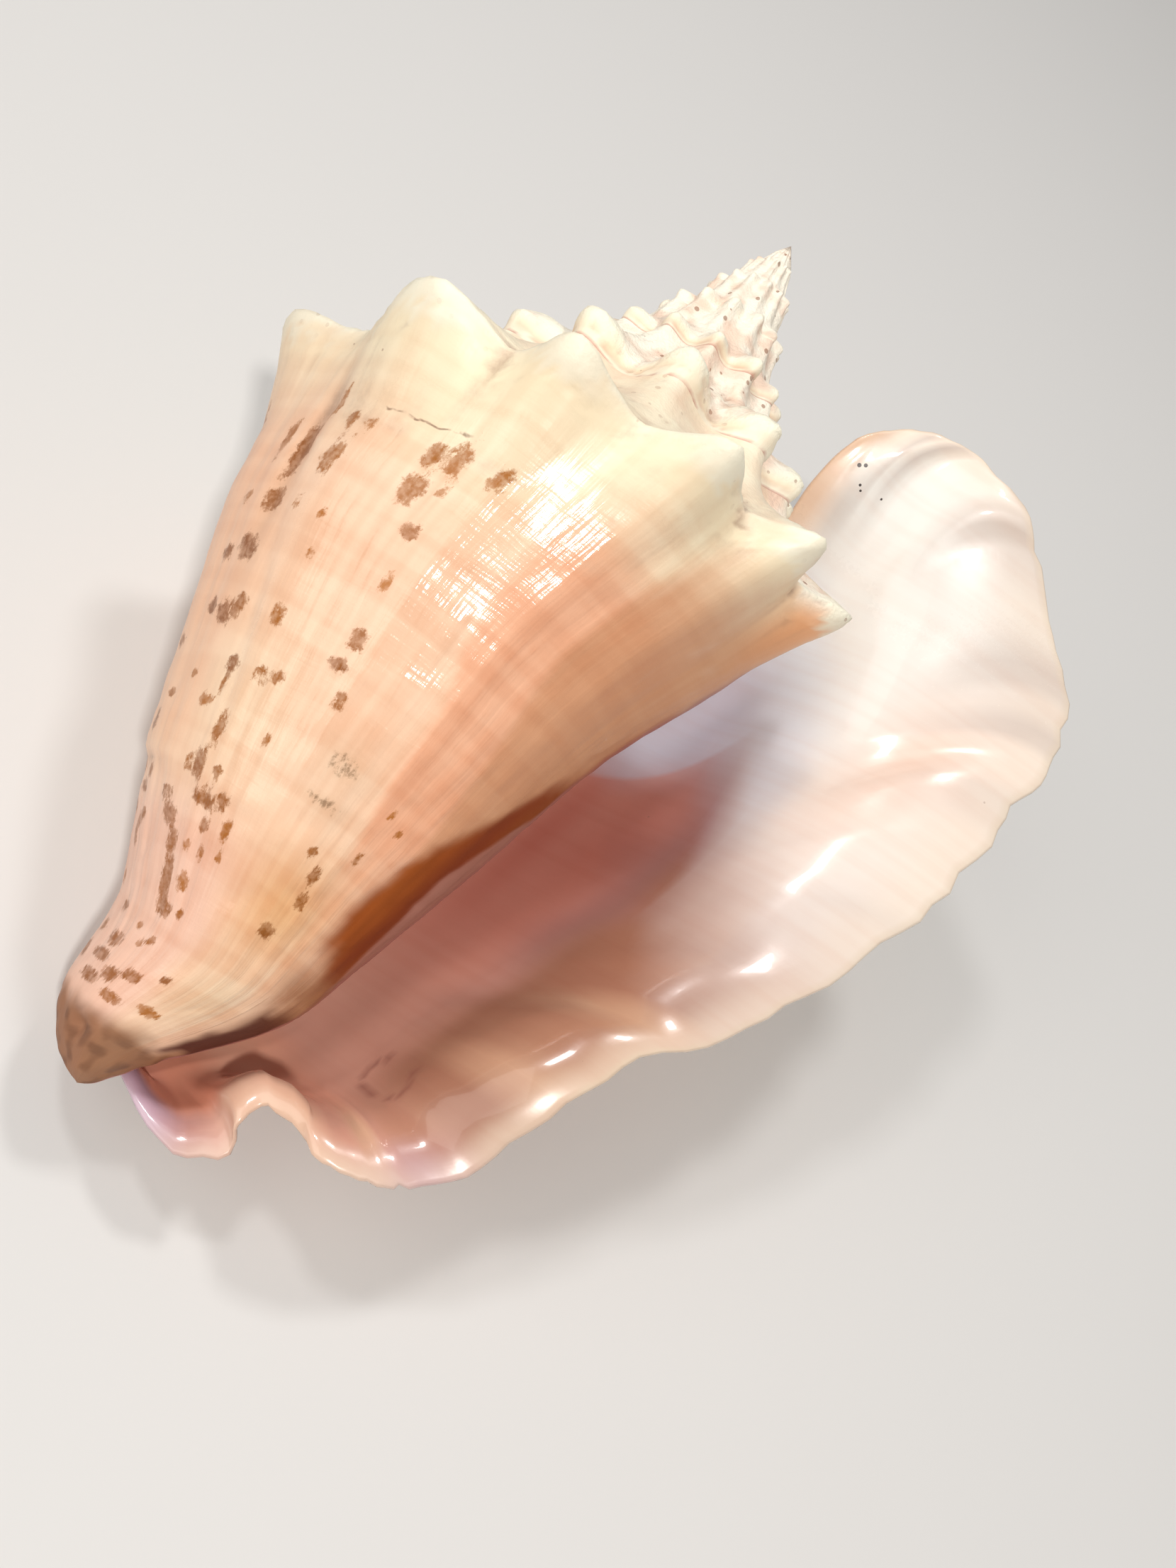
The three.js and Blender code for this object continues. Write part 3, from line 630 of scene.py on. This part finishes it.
def mark_field(growth, depth):
    """For each point the closeness of the nearest mark (0.5 at its edge) and its darkness."""
    field, dark = np.zeros(growth.shape), np.zeros(growth.shape)
    for g, d, w, h, strength in np.concatenate([MARKS, hidden_marks()]):
        reach = (np.abs(growth - g) / (w + 0.5)) ** MARK_POWER
        reach = (reach + (np.abs(depth - d) / (h + 0.3)) ** MARK_POWER) ** (1 / MARK_POWER)
        close = np.clip(1 - 0.5 * reach, 0, 1)
        dark = np.where(close > field, strength, dark)
        field = np.maximum(field, close)
    return field, dark


def paint_outside(growth, share, points, hollow):
    """Colour, marks and finish of the outer sheet, from where each point lies on the growing shell.

    Marks are the closeness of a brown mark, its darkness and the dark scar. Finish is the gloss,
    the painted shade in hollows and the chalkiness. Each paint is laid over the ones before it.
    """
    depth = -points[:, 1]
    cloud = noise(points / 9, 31)
    body = smooth(0.2, 0.27, share)
    top, under = glaze_edge(depth)

    # cream on the shoulder, peach and rose towards the canal
    colour = np.zeros((len(growth), 3)) + tone("fff2d2")
    pink = smooth(158, 172, depth) * smooth(118, 142, growth + 6 * cloud)
    peach = smooth(164, 176, growth) * smooth(74, 108, depth) * fade(150, 165, depth)
    by_groove = bell(growth, 173, 4) * smooth(80, 95, depth) * fade(120, 140, depth)
    colour = painted_over(
        colour,
        ("fcd4b6", smooth(84, 108, depth + 5 * cloud) * 0.9),
        ("fde5c6", bell(depth, 146, 12) * smooth(128, 150, growth) * 0.7),
        ("f8cdb8", pink * 0.9),
        ("fbcaa8", peach * 0.7),
        ("e9bd9c", by_groove * 0.7),
    )

    # the two layers of glaze beside the aperture, and the warm patches on them
    outer_glaze = fade(-1.2, 1.2, growth - top) * smooth(86, 100, depth)
    inner_glaze = fade(-2, 2, growth - under) * smooth(74, 90, depth)
    colour = painted_over(
        colour,
        ("f8b995", outer_glaze * (1 - 0.55 * smooth(150, 165, depth)) * 0.8),
        ("dca27a", inner_glaze * fade(158, 175, depth) * 0.8),
        # darker towards the aperture side below the shoulder: partly the glaze's own brown, partly
        # painted shade
        ("d69e74", fade(50, 84, growth) * smooth(78, 92, depth) * body * 0.8),
        ("f7b37e", bell(growth, 53, 10) * bell(depth, 75, 10) * 0.9),
        ("e9b580", bell(growth, 108, 20) * bell(depth, 171, 10) * 0.85),
        ("efd6b6", bell(growth, 105, 22) * bell(depth, 190, 7) * 0.8),
    )

    # the brown band that runs into the aperture, the rib beside it and the dark end of the canal
    ragged = 1.5 * noise(points / 3, 32)
    band_top = np.interp(growth, [40, 55, 63, 72, 80, 86], [121, 127, 137, 145, 153, 165])
    band_end = np.interp(growth, [40, 60, 90], [180, 177, 170])
    band = smooth(-5, 2, depth - band_top + ragged) * fade(-4, 3, depth - band_end + ragged)
    band = band * fade(77, 88, growth + 2 * ragged)
    rib = np.interp(depth, [125, 135, 150, 160, 170, 178, 184], [38, 50, 60, 57, 53, 50, 47])
    by_rib = fade(-1.5, 1.5, growth - rib) * smooth(124, 132, depth)
    dark_end = smooth(182, 187, depth + ragged) * fade(199, 202, depth + ragged)
    blotches = smooth(-0.1, 0.5, noise(points / 1.8, 34)) * smooth(200, 205, depth)
    inside_mouth = fade(39, 46, growth) * body
    colour = painted_over(
        colour,
        ("a34f00", band),
        ("8a3400", band * bell(growth, 60, 9) * 0.9),
        ("b87c6c", by_rib * body),
        ("5c2206", dark_end * fade(68, 82, growth + 3 * ragged)),
        ("a86f48", bell(depth, 180, 5) * fade(74, 96, growth) * 0.8),
        ("94603a", smooth(199, 204, depth + 1.2 * ragged) * 0.9),
        ("583018", blotches * 0.45),
        ("c07f76", inside_mouth),
    )

    # chalk, stains and seams of the spire, painted shade in the hollows and painted highlights on
    # the ridges
    chalk = np.maximum(fade(0.16, 0.24, share), fade(-900, -800, growth))
    chalk = np.where(growth > 60, chalk * 0.35, chalk)
    stain = smooth(-0.1, 0.7, noise(points / 5, 33) + 0.5 * noise(points / 1.6, 36)) * chalk
    seam = bell(share, 0.0, 0.03) * (growth < 360) * smooth(-0.3, 0.5, cloud)
    # painted highlight: lighter paint where the surface bulges out, on the ridges and knobs
    wear_and_ridge_highlight = smooth(0.08, 0.4, -hollow) * 0.9
    colour = painted_over(
        colour,
        ("fff8e8", chalk),
        ("e8bfa6", stain * 0.6),
        ("e6bfa8", seam * 0.5),
        # painted shade: darker paint in the hollows of the surface
        ("d3ab93", smooth(0.1, 0.6, hollow) * (0.2 + 0.8 * chalk) * 0.5),
        ("fffbe6", wear_and_ridge_highlight * (1 - smooth(88, 112, depth) * body)),
    )

    field, dark = mark_field(growth, depth)
    keep = smooth(0.24, 0.27, share) * smooth(60, 80, growth) * fade(199, 202, depth)
    upper_scar = bell(growth, 118, 10) * bell(depth, 146.5, 3.6)
    scar = np.maximum(upper_scar, bell(growth, 117, 11) * bell(depth, 153, 2.6))
    marks = np.stack([field * keep, dark, scar * keep], 1)
    gloss = 0.5 + 0.45 * fade(150, 170, growth) * smooth(80, 95, depth)
    gloss = gloss * (1 - 0.85 * chalk) * (1 - 0.8 * smooth(192, 204, depth))
    gloss = gloss * (1 - 0.75 * band) * (1 - 0.35 * inner_glaze)
    gloss = gloss * (1 - 0.7 * dark_end * (growth < 84))
    finish = np.stack([np.clip(gloss, 0, 1), np.clip(hollow, 0, 1), chalk], 1)
    return colour, marks, finish


def paint_inside(growth, share, lip, points):
    """Colour, marks and finish of the inner sheet and the rim: pearl above, rose and tan below.

    Finish is the smoothness, the share of rose and the dull edge; there are no marks. A line that
    sinks towards the canal as the lip grows parts the pearl from the rose.
    """
    cloud = noise(points / 13, 41)
    parting = np.interp(
        lip, [0, 0.1, 0.3, 0.4, 0.45, 0.5, 0.6, 0.7, 0.8, 1],
        [0.25, 0.28, 0.31, 0.37, 0.44, 0.5, 0.55, 0.58, 0.6, 0.63],
    )
    below = share - parting + 0.012 * cloud
    streaks = waves(share * 46 + 0.5 * lip, 42)

    pearl = np.zeros((len(growth), 3)) + tone("e8e6f2")
    pearl = painted_over(
        pearl,
        ("eef1f6", smooth(0.25, 0.5, lip + 0.04 * cloud)),
        ("fcf8f0", smooth(0.46, 0.64, lip + 0.04 * cloud)),
        ("fbeddc", smooth(0.8, 0.98, lip)),
        ("fadbc6", bell(lip, 0.78, 0.17) * bell(share, 0.43, 0.075) * 0.9),
        ("e0cec4", bell(below, -0.03, 0.05) * smooth(0.3, 0.5, lip) * 0.6),
        ("cfc8c0", bell(share, 0.055, 0.025) * bell(lip, 0.75, 0.1) * 0.7),
        ("cdbdb2", smooth(0.05, 0.8, streaks) * smooth(0.66, 0.92, lip) * 0.65),
        ("e9be95", bell(share, 0, 0.04) * smooth(0.5, 0.7, lip) * 0.8),
    )

    rose = np.zeros((len(growth), 3)) + tone("f0a18c")
    tan = smooth(0.3, 0.52, lip + 0.05 * cloud) * smooth(0.4, 0.52, share)
    tan = tan * (1 - 0.7 * smooth(0.72, 0.82, share))
    streaked = smooth(0.4, 0.8, lip) * smooth(0.55, 0.62, share)
    flute = smooth(0.35, 0.75, lip) * smooth(0.84, 0.88, share) * fade(0.94, 0.97, share)
    ring = np.hypot((lip - 0.47) / 0.12, (share - 0.752) / 0.024)
    rose = painted_over(
        rose,
        ("e18873", bell(lip, 0.05, 0.05) * bell(share, 0.4, 0.13)),
        ("e7917c", bell(lip, 0.22, 0.12) * bell(share, 0.42, 0.06) * 0.8),
        ("b0807a", smooth(0.2, 0.42, lip + 0.04 * cloud) * 0.9),
        ("eab09a", smooth(0.52, 0.72, share)),
        ("a57156", tan * 0.95),
        ("e2b693", smooth(0.1, 0.8, streaks) * streaked * 0.7),
        ("b98265", smooth(0.1, 0.8, -streaks) * streaked * 0.5),
        ("f0d6be", smooth(0.86, 1, lip) * 0.8),
        ("cfa0a0", smooth(0.88, 0.95, share) * 0.4),
        ("c9a5b4", smooth(0.75, 0.95, lip) * bell(share, 0.79, 0.03) * 0.55),
        ("c9b4d0", smooth(0.965, 0.99, share) * 0.7),
        ("f0c6a8", flute * 0.7),
        # painted light: a warm pale coat over the canal that lifts its shade
        ("ffae8c", smooth(0.78, 0.86, share) * fade(0.45, 0.75, lip) * 0.9),
        # painted light: a pale patch that lifts a shaded spot beside the canal
        ("ffc8aa", bell(lip, 0.08, 0.14) * bell(share, 0.87, 0.045)),
        ("8f5648", bell(ring, 1, 0.1) * 0.6),
    )

    colour = pearl + (rose - pearl) * smooth(-0.09, 0.05, below)[:, None]
    colour = over(colour, "a5655e", fade(240, 325, growth))
    edge = smooth(0.985, 1, lip) * 0.5
    colour = over(colour, "f0dcc0", edge * (share < 0.7))
    marks = np.zeros((len(growth), 3))
    satin = bell(share, 0.14, 0.12) * smooth(0.6, 0.8, lip)
    finish = np.stack([1 - 0.85 * satin, smooth(-0.02, 0.05, below), edge], 1)
    return colour, marks, finish


def painted(place):
    """Colour, marks and finish of every unmerged point, of the outer or of the inner sheet."""
    growth, share, points = place["growth"], place["share"], place["points"]
    layers = paint_outside(growth, share, points, place["hollow"])
    inner_layers = paint_inside(growth, share, place["lip"], points)
    for layer, inner_layer in zip(layers, inner_layers):
        layer[place["inner"]] = inner_layer[place["inner"]]
    return layers


def make_shell():
    """The shell as one closed mesh, with its paint on the triangle corners."""
    vertices, triangles, corners, kinds, place = shell_surface()
    colour, marks, finish = painted(place)
    corners = corners.ravel()
    mesh = bpy.data.meshes.new("conch_shell")
    low, high = np.array(CAD_BOX[0]), np.array(CAD_BOX[1])
    inside_box = np.clip(to_world(vertices)[0], low + [BOX_GAP, BOX_GAP, 0], high - BOX_GAP)
    mesh.vertices.add(len(inside_box))
    mesh.vertices.foreach_set("co", inside_box.astype(np.float32).ravel())
    mesh.loops.add(triangles.size)
    mesh.loops.foreach_set("vertex_index", triangles.astype(np.int32).ravel())
    mesh.polygons.add(len(triangles))
    mesh.polygons.foreach_set("loop_start", np.arange(0, triangles.size, 3, dtype=np.int32))
    mesh.polygons.foreach_set("loop_total", np.full(len(triangles), 3, dtype=np.int32))
    mesh.polygons.foreach_set("use_smooth", np.ones(len(triangles), dtype=bool))
    mesh.polygons.foreach_set("material_index", kinds.astype(np.int32))
    mesh.update(calc_edges=True)
    uv = mesh.uv_layers.new(name="grown")
    turns_and_depth = np.stack([place["growth"] / 360, -place["points"][:, 1] / LENGTH], 1)
    uv.data.foreach_set("uv", turns_and_depth[corners].astype(np.float32).ravel())
    tint = mesh.attributes.new("tint", "FLOAT_COLOR", "CORNER")
    colour = np.column_stack([colour, np.ones(len(colour))])[corners]
    tint.data.foreach_set("color", colour.astype(np.float32).ravel())
    for name, layer in (("marks", marks), ("finish", finish)):
        data = mesh.attributes.new(name, "FLOAT_VECTOR", "CORNER").data
        data.foreach_set("vector", layer[corners].astype(np.float32).ravel())
    shell = bpy.data.objects.new("conch_shell", mesh)
    bpy.context.collection.objects.link(shell)
    return shell


def add(tree, kind, inputs=None, **settings):
    """Adds a node, sets it up, and links or sets its inputs."""
    node = tree.nodes.new("ShaderNode" + kind)
    for name, value in settings.items():
        setattr(node, name, value)
    for name, value in (inputs or {}).items():
        if isinstance(value, bpy.types.NodeSocket):
            tree.links.new(value, node.inputs[name])
        else:
            node.inputs[name].default_value = value
    return node


def maths(tree, operation, *values):
    """A maths node, as its output."""
    return add(tree, "Math", dict(enumerate(values)), operation=operation).outputs[0]


def times(tree, a, b):
    """Two values multiplied."""
    return maths(tree, "MULTIPLY", a, b)


def plus(tree, a, b):
    """Two values added."""
    return maths(tree, "ADD", a, b)


def minus(tree, a, b):
    """The second value taken from the first."""
    return maths(tree, "SUBTRACT", a, b)


def line(tree, value, slope, start):
    """A value times a slope, plus a start."""
    return maths(tree, "MULTIPLY_ADD", value, slope, start)


def ramp(tree, value, low, high):
    """A value between low and high spread smoothly over 0 to 1."""
    inputs = {"Value": value, "From Min": low, "From Max": high}
    return add(tree, "MapRange", inputs, interpolation_type="SMOOTHSTEP").outputs["Result"]


def mix(tree, amount, a, b, kind="MIX"):
    """Two colours mixed by an amount."""
    node = tree.nodes.new("ShaderNodeMix")
    node.data_type, node.blend_type = "RGBA", kind
    for socket, value in zip((node.inputs[0], node.inputs[6], node.inputs[7]), (amount, a, b)):
        if isinstance(value, bpy.types.NodeSocket):
            tree.links.new(value, socket)
        else:
            socket.default_value = value
    return node.outputs[2]


def noise_of(tree, vector, scale, detail=3.0, roughness=0.55):
    """Noise around 0.5."""
    inputs = {"Vector": vector, "Scale": scale, "Detail": detail, "Roughness": roughness}
    return add(tree, "TexNoise", inputs).outputs[0]


def stretched(tree, vector, scales):
    """A vector scaled on each axis."""
    return add(tree, "VectorMath", {0: vector, 1: scales}, operation="MULTIPLY").outputs[0]


def group(name, inputs, outputs):
    """An empty node group with the given vector inputs and value outputs."""
    tree = bpy.data.node_groups.new(name, "ShaderNodeTree")
    for socket in inputs:
        tree.interface.new_socket(socket, in_out="INPUT", socket_type="NodeSocketVector")
    for output in outputs:
        tree.interface.new_socket(output, in_out="OUTPUT", socket_type="NodeSocketFloat")
    return tree, tree.nodes.new("NodeGroupInput"), tree.nodes.new("NodeGroupOutput")


def growth_group():
    """Growth lines and spiral threads as a height, a soft mottling, and a fine grain."""
    tree, given, result = group("growth_lines", ("Object", "Grown"), ("Height", "Mottle", "Fine"))
    where = given.outputs["Object"]
    sway = add(tree, "TexNoise", {"Vector": where, "Scale": 60.0}).outputs[1]
    grown = {0: given.outputs["Grown"], 1: stretched(tree, sway, (0.004, 0.01, 0))}
    grown = add(tree, "VectorMath", grown, operation="ADD").outputs[0]
    lines = noise_of(tree, stretched(tree, grown, (150, 9, 0)), 1.0)
    threads = noise_of(tree, stretched(tree, grown, (9, 80, 0)), 1.0)
    height = plus(tree, times(tree, lines, 0.6), times(tree, threads, 0.4))
    tree.links.new(height, result.inputs["Height"])
    tree.links.new(noise_of(tree, where, 55.0, 5.0, 0.6), result.inputs["Mottle"])
    tree.links.new(noise_of(tree, where, 900.0, 3.0, 0.6), result.inputs["Fine"])
    return tree


def speck_group():
    """Small dark specks and pits, each a round dot of a Voronoi cell, in a few of the cells."""
    tree, given, result = group("specks", ("Object",), ("Specks", "Pits"))
    for output, scale, size, keep in (("Specks", 140.0, 0.035, 0.88), ("Pits", 380.0, 0.2, 0.72)):
        cells = add(tree, "TexVoronoi", {"Vector": given.outputs["Object"], "Scale": scale})
        dot = maths(tree, "LESS_THAN", cells.outputs["Distance"], size)
        pick = add(tree, "SeparateColor", {"Color": cells.outputs["Color"]}).outputs[0]
        chosen = maths(tree, "GREATER_THAN", pick, keep)
        tree.links.new(maths(tree, "MULTIPLY", dot, chosen), result.inputs[output])
    return tree


def start_material(name):
    """A new material and its tree, with the outputs that its shader is fed from.

    They are the object coordinates, the growing ones, the three painted layers and the two groups.
    """
    material = bpy.data.materials.new(name)
    material.use_nodes = True
    tree = material.node_tree
    where = add(tree, "TexCoord").outputs["Object"]
    grown = add(tree, "UVMap", uv_map="grown").outputs[0]
    tint = add(tree, "Attribute", attribute_name="tint").outputs["Color"]
    layers = []
    for name in ("marks", "finish"):
        layer = add(tree, "Attribute", attribute_name=name).outputs["Vector"]
        layers.append(add(tree, "SeparateXYZ", {0: layer}).outputs)
    lines = add(tree, "Group", {"Object": where, "Grown": grown}, node_tree=GROWTH_LINES).outputs
    specks = add(tree, "Group", {"Object": where}, node_tree=SPECKS).outputs
    return material, tree, where, grown, tint, *layers, lines, specks


def finish_shader(tree, sockets, height, strength, distance):
    """Feeds the shader's sockets, and a bump from a height into its normal."""
    shader = tree.nodes["Principled BSDF"]
    bump = add(tree, "Bump", {"Height": height, "Strength": strength, "Distance": distance})
    for name, value in {**sockets, "Normal": bump.outputs[0]}.items():
        tree.links.new(value, shader.inputs[name])
    return shader


def tinted(tree, amount, colour, tone_over, kind="MIX"):
    """A colour with a tone laid over it, or multiplied into it, by an amount."""
    return mix(tree, amount, colour, (*tone_over, 1), kind)


# Tones that the shaders lay over the painted layers, as linear light.
PEACH_SHADE, CHECK_SHADE, LINE_SHADE = (0.86, 0.62, 0.46), (0.84, 0.68, 0.59), (0.8, 0.55, 0.4)
PALE_BROWN, DARK_BROWN = (0.52, 0.17, 0.01, 1), (0.25, 0.065, 0.0, 1)
SCAR_TAN, SCAR_BROWN, CRACK_BROWN = (0.6, 0.42, 0.26), (0.2, 0.11, 0.05), (0.16, 0.07, 0.03)
# the first tone below is painted shade for the hollows
HOLLOW_SHADE, PIT = (0.3, 0.16, 0.1), (0.3, 0.12, 0.06)
ROSE_SHADE, STREAK_SHADE, LILAC = (0.82, 0.7, 0.66), (0.85, 0.62, 0.52), (0.74, 0.74, 0.95)
SPECK_BROWN, SPECK_BLACK = (0.3, 0.17, 0.12), (0.05, 0.035, 0.03)

CRACK_SLOPE, CRACK_START = 0.16, 0.37  # depth share of a dark crack along the turns
WING_SPECKS = (  # middle and radius, in metres
    ((0.01833, 0.07253, 0.09040), 0.00045),
    ((0.01942, 0.07304, 0.09095), 0.00042),
    ((0.02099, 0.07062, 0.08806), 0.00030),
    ((0.02179, 0.07017, 0.08732), 0.00026),
    ((0.02656, 0.07213, 0.08730), 0.00026),
)


def checks(tree, grown):
    """Broad soft lines across the growth plus broad soft lines along it, from 0 to 2."""
    across = noise_of(tree, stretched(tree, grown, (70, 3, 0)), 1.0, 1.0)
    along = noise_of(tree, stretched(tree, grown, (4, 42, 0)), 1.0, 1.0)
    return plus(tree, ramp(tree, across, 0.4, 0.6), ramp(tree, along, 0.42, 0.58))


def brown_marks(tree, colour, where, grown, marks):
    """The painted marks with ragged edges and a patchy brown, and the two dark scars."""
    ragged = noise_of(tree, stretched(tree, grown, (150, 90, 0)), 1.0, 5.0, 0.8)
    close = plus(tree, marks["X"], times(tree, minus(tree, ragged, 0.52), 1.1))
    patchy = ramp(tree, noise_of(tree, where, 700.0), 0.3, 0.65)
    amount = times(tree, ramp(tree, close, 0.46, 0.66), line(tree, patchy, 0.35, 0.58))
    colour = mix(tree, amount, colour, mix(tree, marks["Y"], PALE_BROWN, DARK_BROWN))
    blots = noise_of(tree, stretched(tree, grown, (190, 110, 0)), 1.0, 5.0, 0.75)
    scar = ramp(tree, times(tree, marks["Z"], blots), 0.36, 0.56)
    colour = tinted(tree, times(tree, marks["Z"], 0.3), colour, SCAR_TAN)
    return tinted(tree, times(tree, scar, 0.7), colour, SCAR_BROWN)


def crack(tree, where, grown):
    """A thin broken line on the shoulder: how close the depth is to a sloping line of the turns."""
    turned, down, _ = add(tree, "SeparateXYZ", {0: grown}).outputs
    wobble = times(tree, minus(tree, noise_of(tree, where, 260.0, 2.0), 0.5), 0.012)
    off = plus(tree, minus(tree, down, line(tree, turned, CRACK_SLOPE, CRACK_START)), wobble)
    thin = minus(tree, 1.0, ramp(tree, maths(tree, "ABSOLUTE", off), 0.0003, 0.0015))
    span = minus(tree, 1.0, ramp(tree, turned, 0.436, 0.444))
    span = times(tree, ramp(tree, turned, 0.384, 0.39), span)
    broken = ramp(tree, noise_of(tree, where, 420.0, 2.0), 0.42, 0.6)
    return times(tree, times(tree, span, thin), broken)


def outside_material():
    """The outer sheet: cream and peach glaze, brown marks, chalky and pitted on the spire."""
    begun = start_material("shell_outside")
    material, tree, where, grown, tint, marks, finish, lines, specks = begun
    gloss, hollow, chalk = finish["X"], finish["Y"], finish["Z"]
    mottle = times(tree, ramp(tree, lines["Mottle"], 0.3, 0.7), line(tree, chalk, -0.14, 0.2))
    colour = tinted(tree, mottle, tint, PEACH_SHADE, "MULTIPLY")
    checked = times(tree, times(tree, checks(tree, grown), gloss), 0.33)
    colour = tinted(tree, checked, colour, CHECK_SHADE, "MULTIPLY")
    lined = times(tree, ramp(tree, lines["Height"], 0.52, 0.72), gloss)
    colour = tinted(tree, times(tree, lined, 0.25), colour, LINE_SHADE, "MULTIPLY")
    colour = brown_marks(tree, colour, where, grown, marks)
    colour = tinted(tree, times(tree, crack(tree, where, grown), 0.75), colour, CRACK_BROWN)
    # painted shade: darker in the hollows, broken up by a grain
    grain = noise_of(tree, where, 520.0, 4.0, 0.7)
    hollow_shade = ramp(tree, times(tree, hollow, plus(tree, grain, 0.3)), 0.1, 0.6)
    colour = tinted(tree, times(tree, hollow_shade, 0.5), colour, HOLLOW_SHADE)
    pits = times(tree, specks["Pits"], times(tree, chalk, 0.7))
    dots = maths(tree, "MAXIMUM", times(tree, specks["Specks"], 0.5), pits)
    colour = tinted(tree, dots, colour, PIT)

    rough = line(tree, gloss, -0.66, 0.74)
    rough = plus(tree, rough, times(tree, minus(tree, lines["Fine"], 0.5), 0.12))
    rise = times(tree, lines["Height"], gloss)
    grit = times(tree, lines["Fine"], line(tree, chalk, 1.3, 0.05))
    deep = times(tree, specks["Pits"], times(tree, chalk, 0.8))
    height = minus(tree, plus(tree, rise, grit), deep)
    finish_shader(tree, {"Base Color": colour, "Roughness": rough}, height, 0.6, 0.0006)
    return material


def inside_material():
    """The inner sheet and rim: smooth glossy pearl and rose, with faint growth lines and specks."""
    material, tree, where, grown, tint, _, finish, lines, specks = start_material("shell_inside")
    smoothness, rose = finish["X"], finish["Y"]
    mottle = times(tree, ramp(tree, lines["Mottle"], 0.3, 0.7), 0.16)
    colour = tinted(tree, mottle, tint, ROSE_SHADE, "MULTIPLY")
    streak = noise_of(tree, stretched(tree, grown, (3, 60, 0)), 1.0)
    streak = times(tree, ramp(tree, streak, 0.4, 0.7), 0.14)
    colour = tinted(tree, streak, colour, STREAK_SHADE, "MULTIPLY")
    # painted sheen: an even faint lilac over the pearl, fainter over the rose
    colour = tinted(tree, line(tree, rose, -0.03, 0.05), colour, LILAC)
    colour = tinted(tree, times(tree, specks["Specks"], 0.35), colour, SPECK_BROWN)
    for middle, size in WING_SPECKS:
        reach = add(tree, "VectorMath", {0: where, 1: middle}, operation="DISTANCE")
        dot = maths(tree, "LESS_THAN", reach.outputs["Value"], size)
        colour = tinted(tree, dot, colour, SPECK_BLACK)

    rough = line(tree, lines["Fine"], 0.08, line(tree, smoothness, -0.24, 0.45))
    coat = times(tree, smoothness, 0.7)
    height = line(tree, lines["Height"], 0.35, times(tree, lines["Mottle"], 0.5))
    sockets = {"Base Color": colour, "Roughness": rough, "Coat Weight": coat}
    shader = finish_shader(tree, sockets, height, 0.12, 0.0008)
    shader.inputs["Coat Roughness"].default_value = 0.06
    return material


GROWTH_LINES = growth_group()
SPECKS = speck_group()
shell = make_shell()
shell.data.materials.append(outside_material())
shell.data.materials.append(inside_material())
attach(shell, "root")
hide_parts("shell")


FLOOR = 3.0  # metres from the middle of the floor to each side
PALE, SHADED = (0.74, 0.73, 0.72, 1), (0.66, 0.65, 0.64, 1)


def make_floor():
    """A pale matt floor with a very faint grain."""
    mesh = bpy.data.meshes.new("floor")
    corners = [(-FLOOR, -FLOOR, 0), (FLOOR, -FLOOR, 0), (FLOOR, FLOOR, 0), (-FLOOR, FLOOR, 0)]
    mesh.from_pydata(corners, [], [(0, 1, 2, 3)])
    floor = bpy.data.objects.new("floor", mesh)
    bpy.context.collection.objects.link(floor)
    material = bpy.data.materials.new("pale_floor")
    material.use_nodes = True
    tree = material.node_tree
    grain = noise_of(tree, add(tree, "TexCoord").outputs["Object"], 40.0)
    shader = tree.nodes["Principled BSDF"]
    tree.links.new(mix(tree, times(tree, grain, 0.05), PALE, SHADED), shader.inputs["Base Color"])
    shader.inputs["Roughness"].default_value = 0.8
    mesh.materials.append(material)


# The camera in the growing frame: where it stands, and its right, up and backward axes in rows.
EYE = np.array([-119.91, -184.55, 261.98])
SIGHT = np.array([
    [0.6467, 0.5528, 0.5256],
    [-0.5840, 0.8021, -0.1249],
    [-0.4906, -0.2262, 0.8415],
])
LENS, SENSOR = 35.805, 36  # millimetres


def set_camera():
    """The camera, in front of the aperture, above it and rolled, as its three axes say."""
    camera = bpy.data.objects.new("camera", bpy.data.cameras.new("camera"))
    bpy.context.collection.objects.link(camera)
    stand, turn = to_world(EYE)
    axes = turn @ SIGHT.T
    camera.matrix_world = Matrix([[*axes[i], stand[i]] for i in range(3)] + [[0, 0, 0, 1]])
    camera.data.lens, camera.data.sensor_width = LENS, SENSOR
    camera.data.clip_start = 0.01
    bpy.context.scene.camera = camera


def add_light(name, towards, size, power, colour=(1, 1, 1)):
    """A square area light a metre from the middle of the shell, in a direction, facing it."""
    light = bpy.data.lights.new(name, "AREA")
    light.size = size
    light.energy = power
    light.color = colour
    lamp = bpy.data.objects.new(name, light)
    bpy.context.collection.objects.link(lamp)
    lamp.location = Vector(MIDDLE) + Vector(towards).normalized()
    lamp.rotation_euler = Vector(towards).to_track_quat("Z", "Y").to_euler()


MIDDLE = (0, 0, 0.06)  # the lights face it
WARM_WHITE = (1, 0.99, 0.97)

make_floor()
set_camera()
add_light("key", (0.1, -0.53, 0.84), 0.06, 4.7, (1, 0.97, 0.93))
add_light("fill", (-0.62, -0.42, 0.66), 0.8, 3.0, (1, 0.94, 0.87))
add_light("side", (-0.42, 0.14, 0.88), 0.12, 1.7)
add_light("back", (-0.02, 0.43, 0.9), 0.12, 2.5, WARM_WHITE)

world = bpy.data.worlds.new("studio")
world.use_nodes = True
sky = world.node_tree.nodes["Background"].inputs
sky["Color"].default_value = (*WARM_WHITE, 1)
sky["Strength"].default_value = 0.2
bpy.context.scene.world = world
bpy.context.scene.view_settings.view_transform = "Standard"
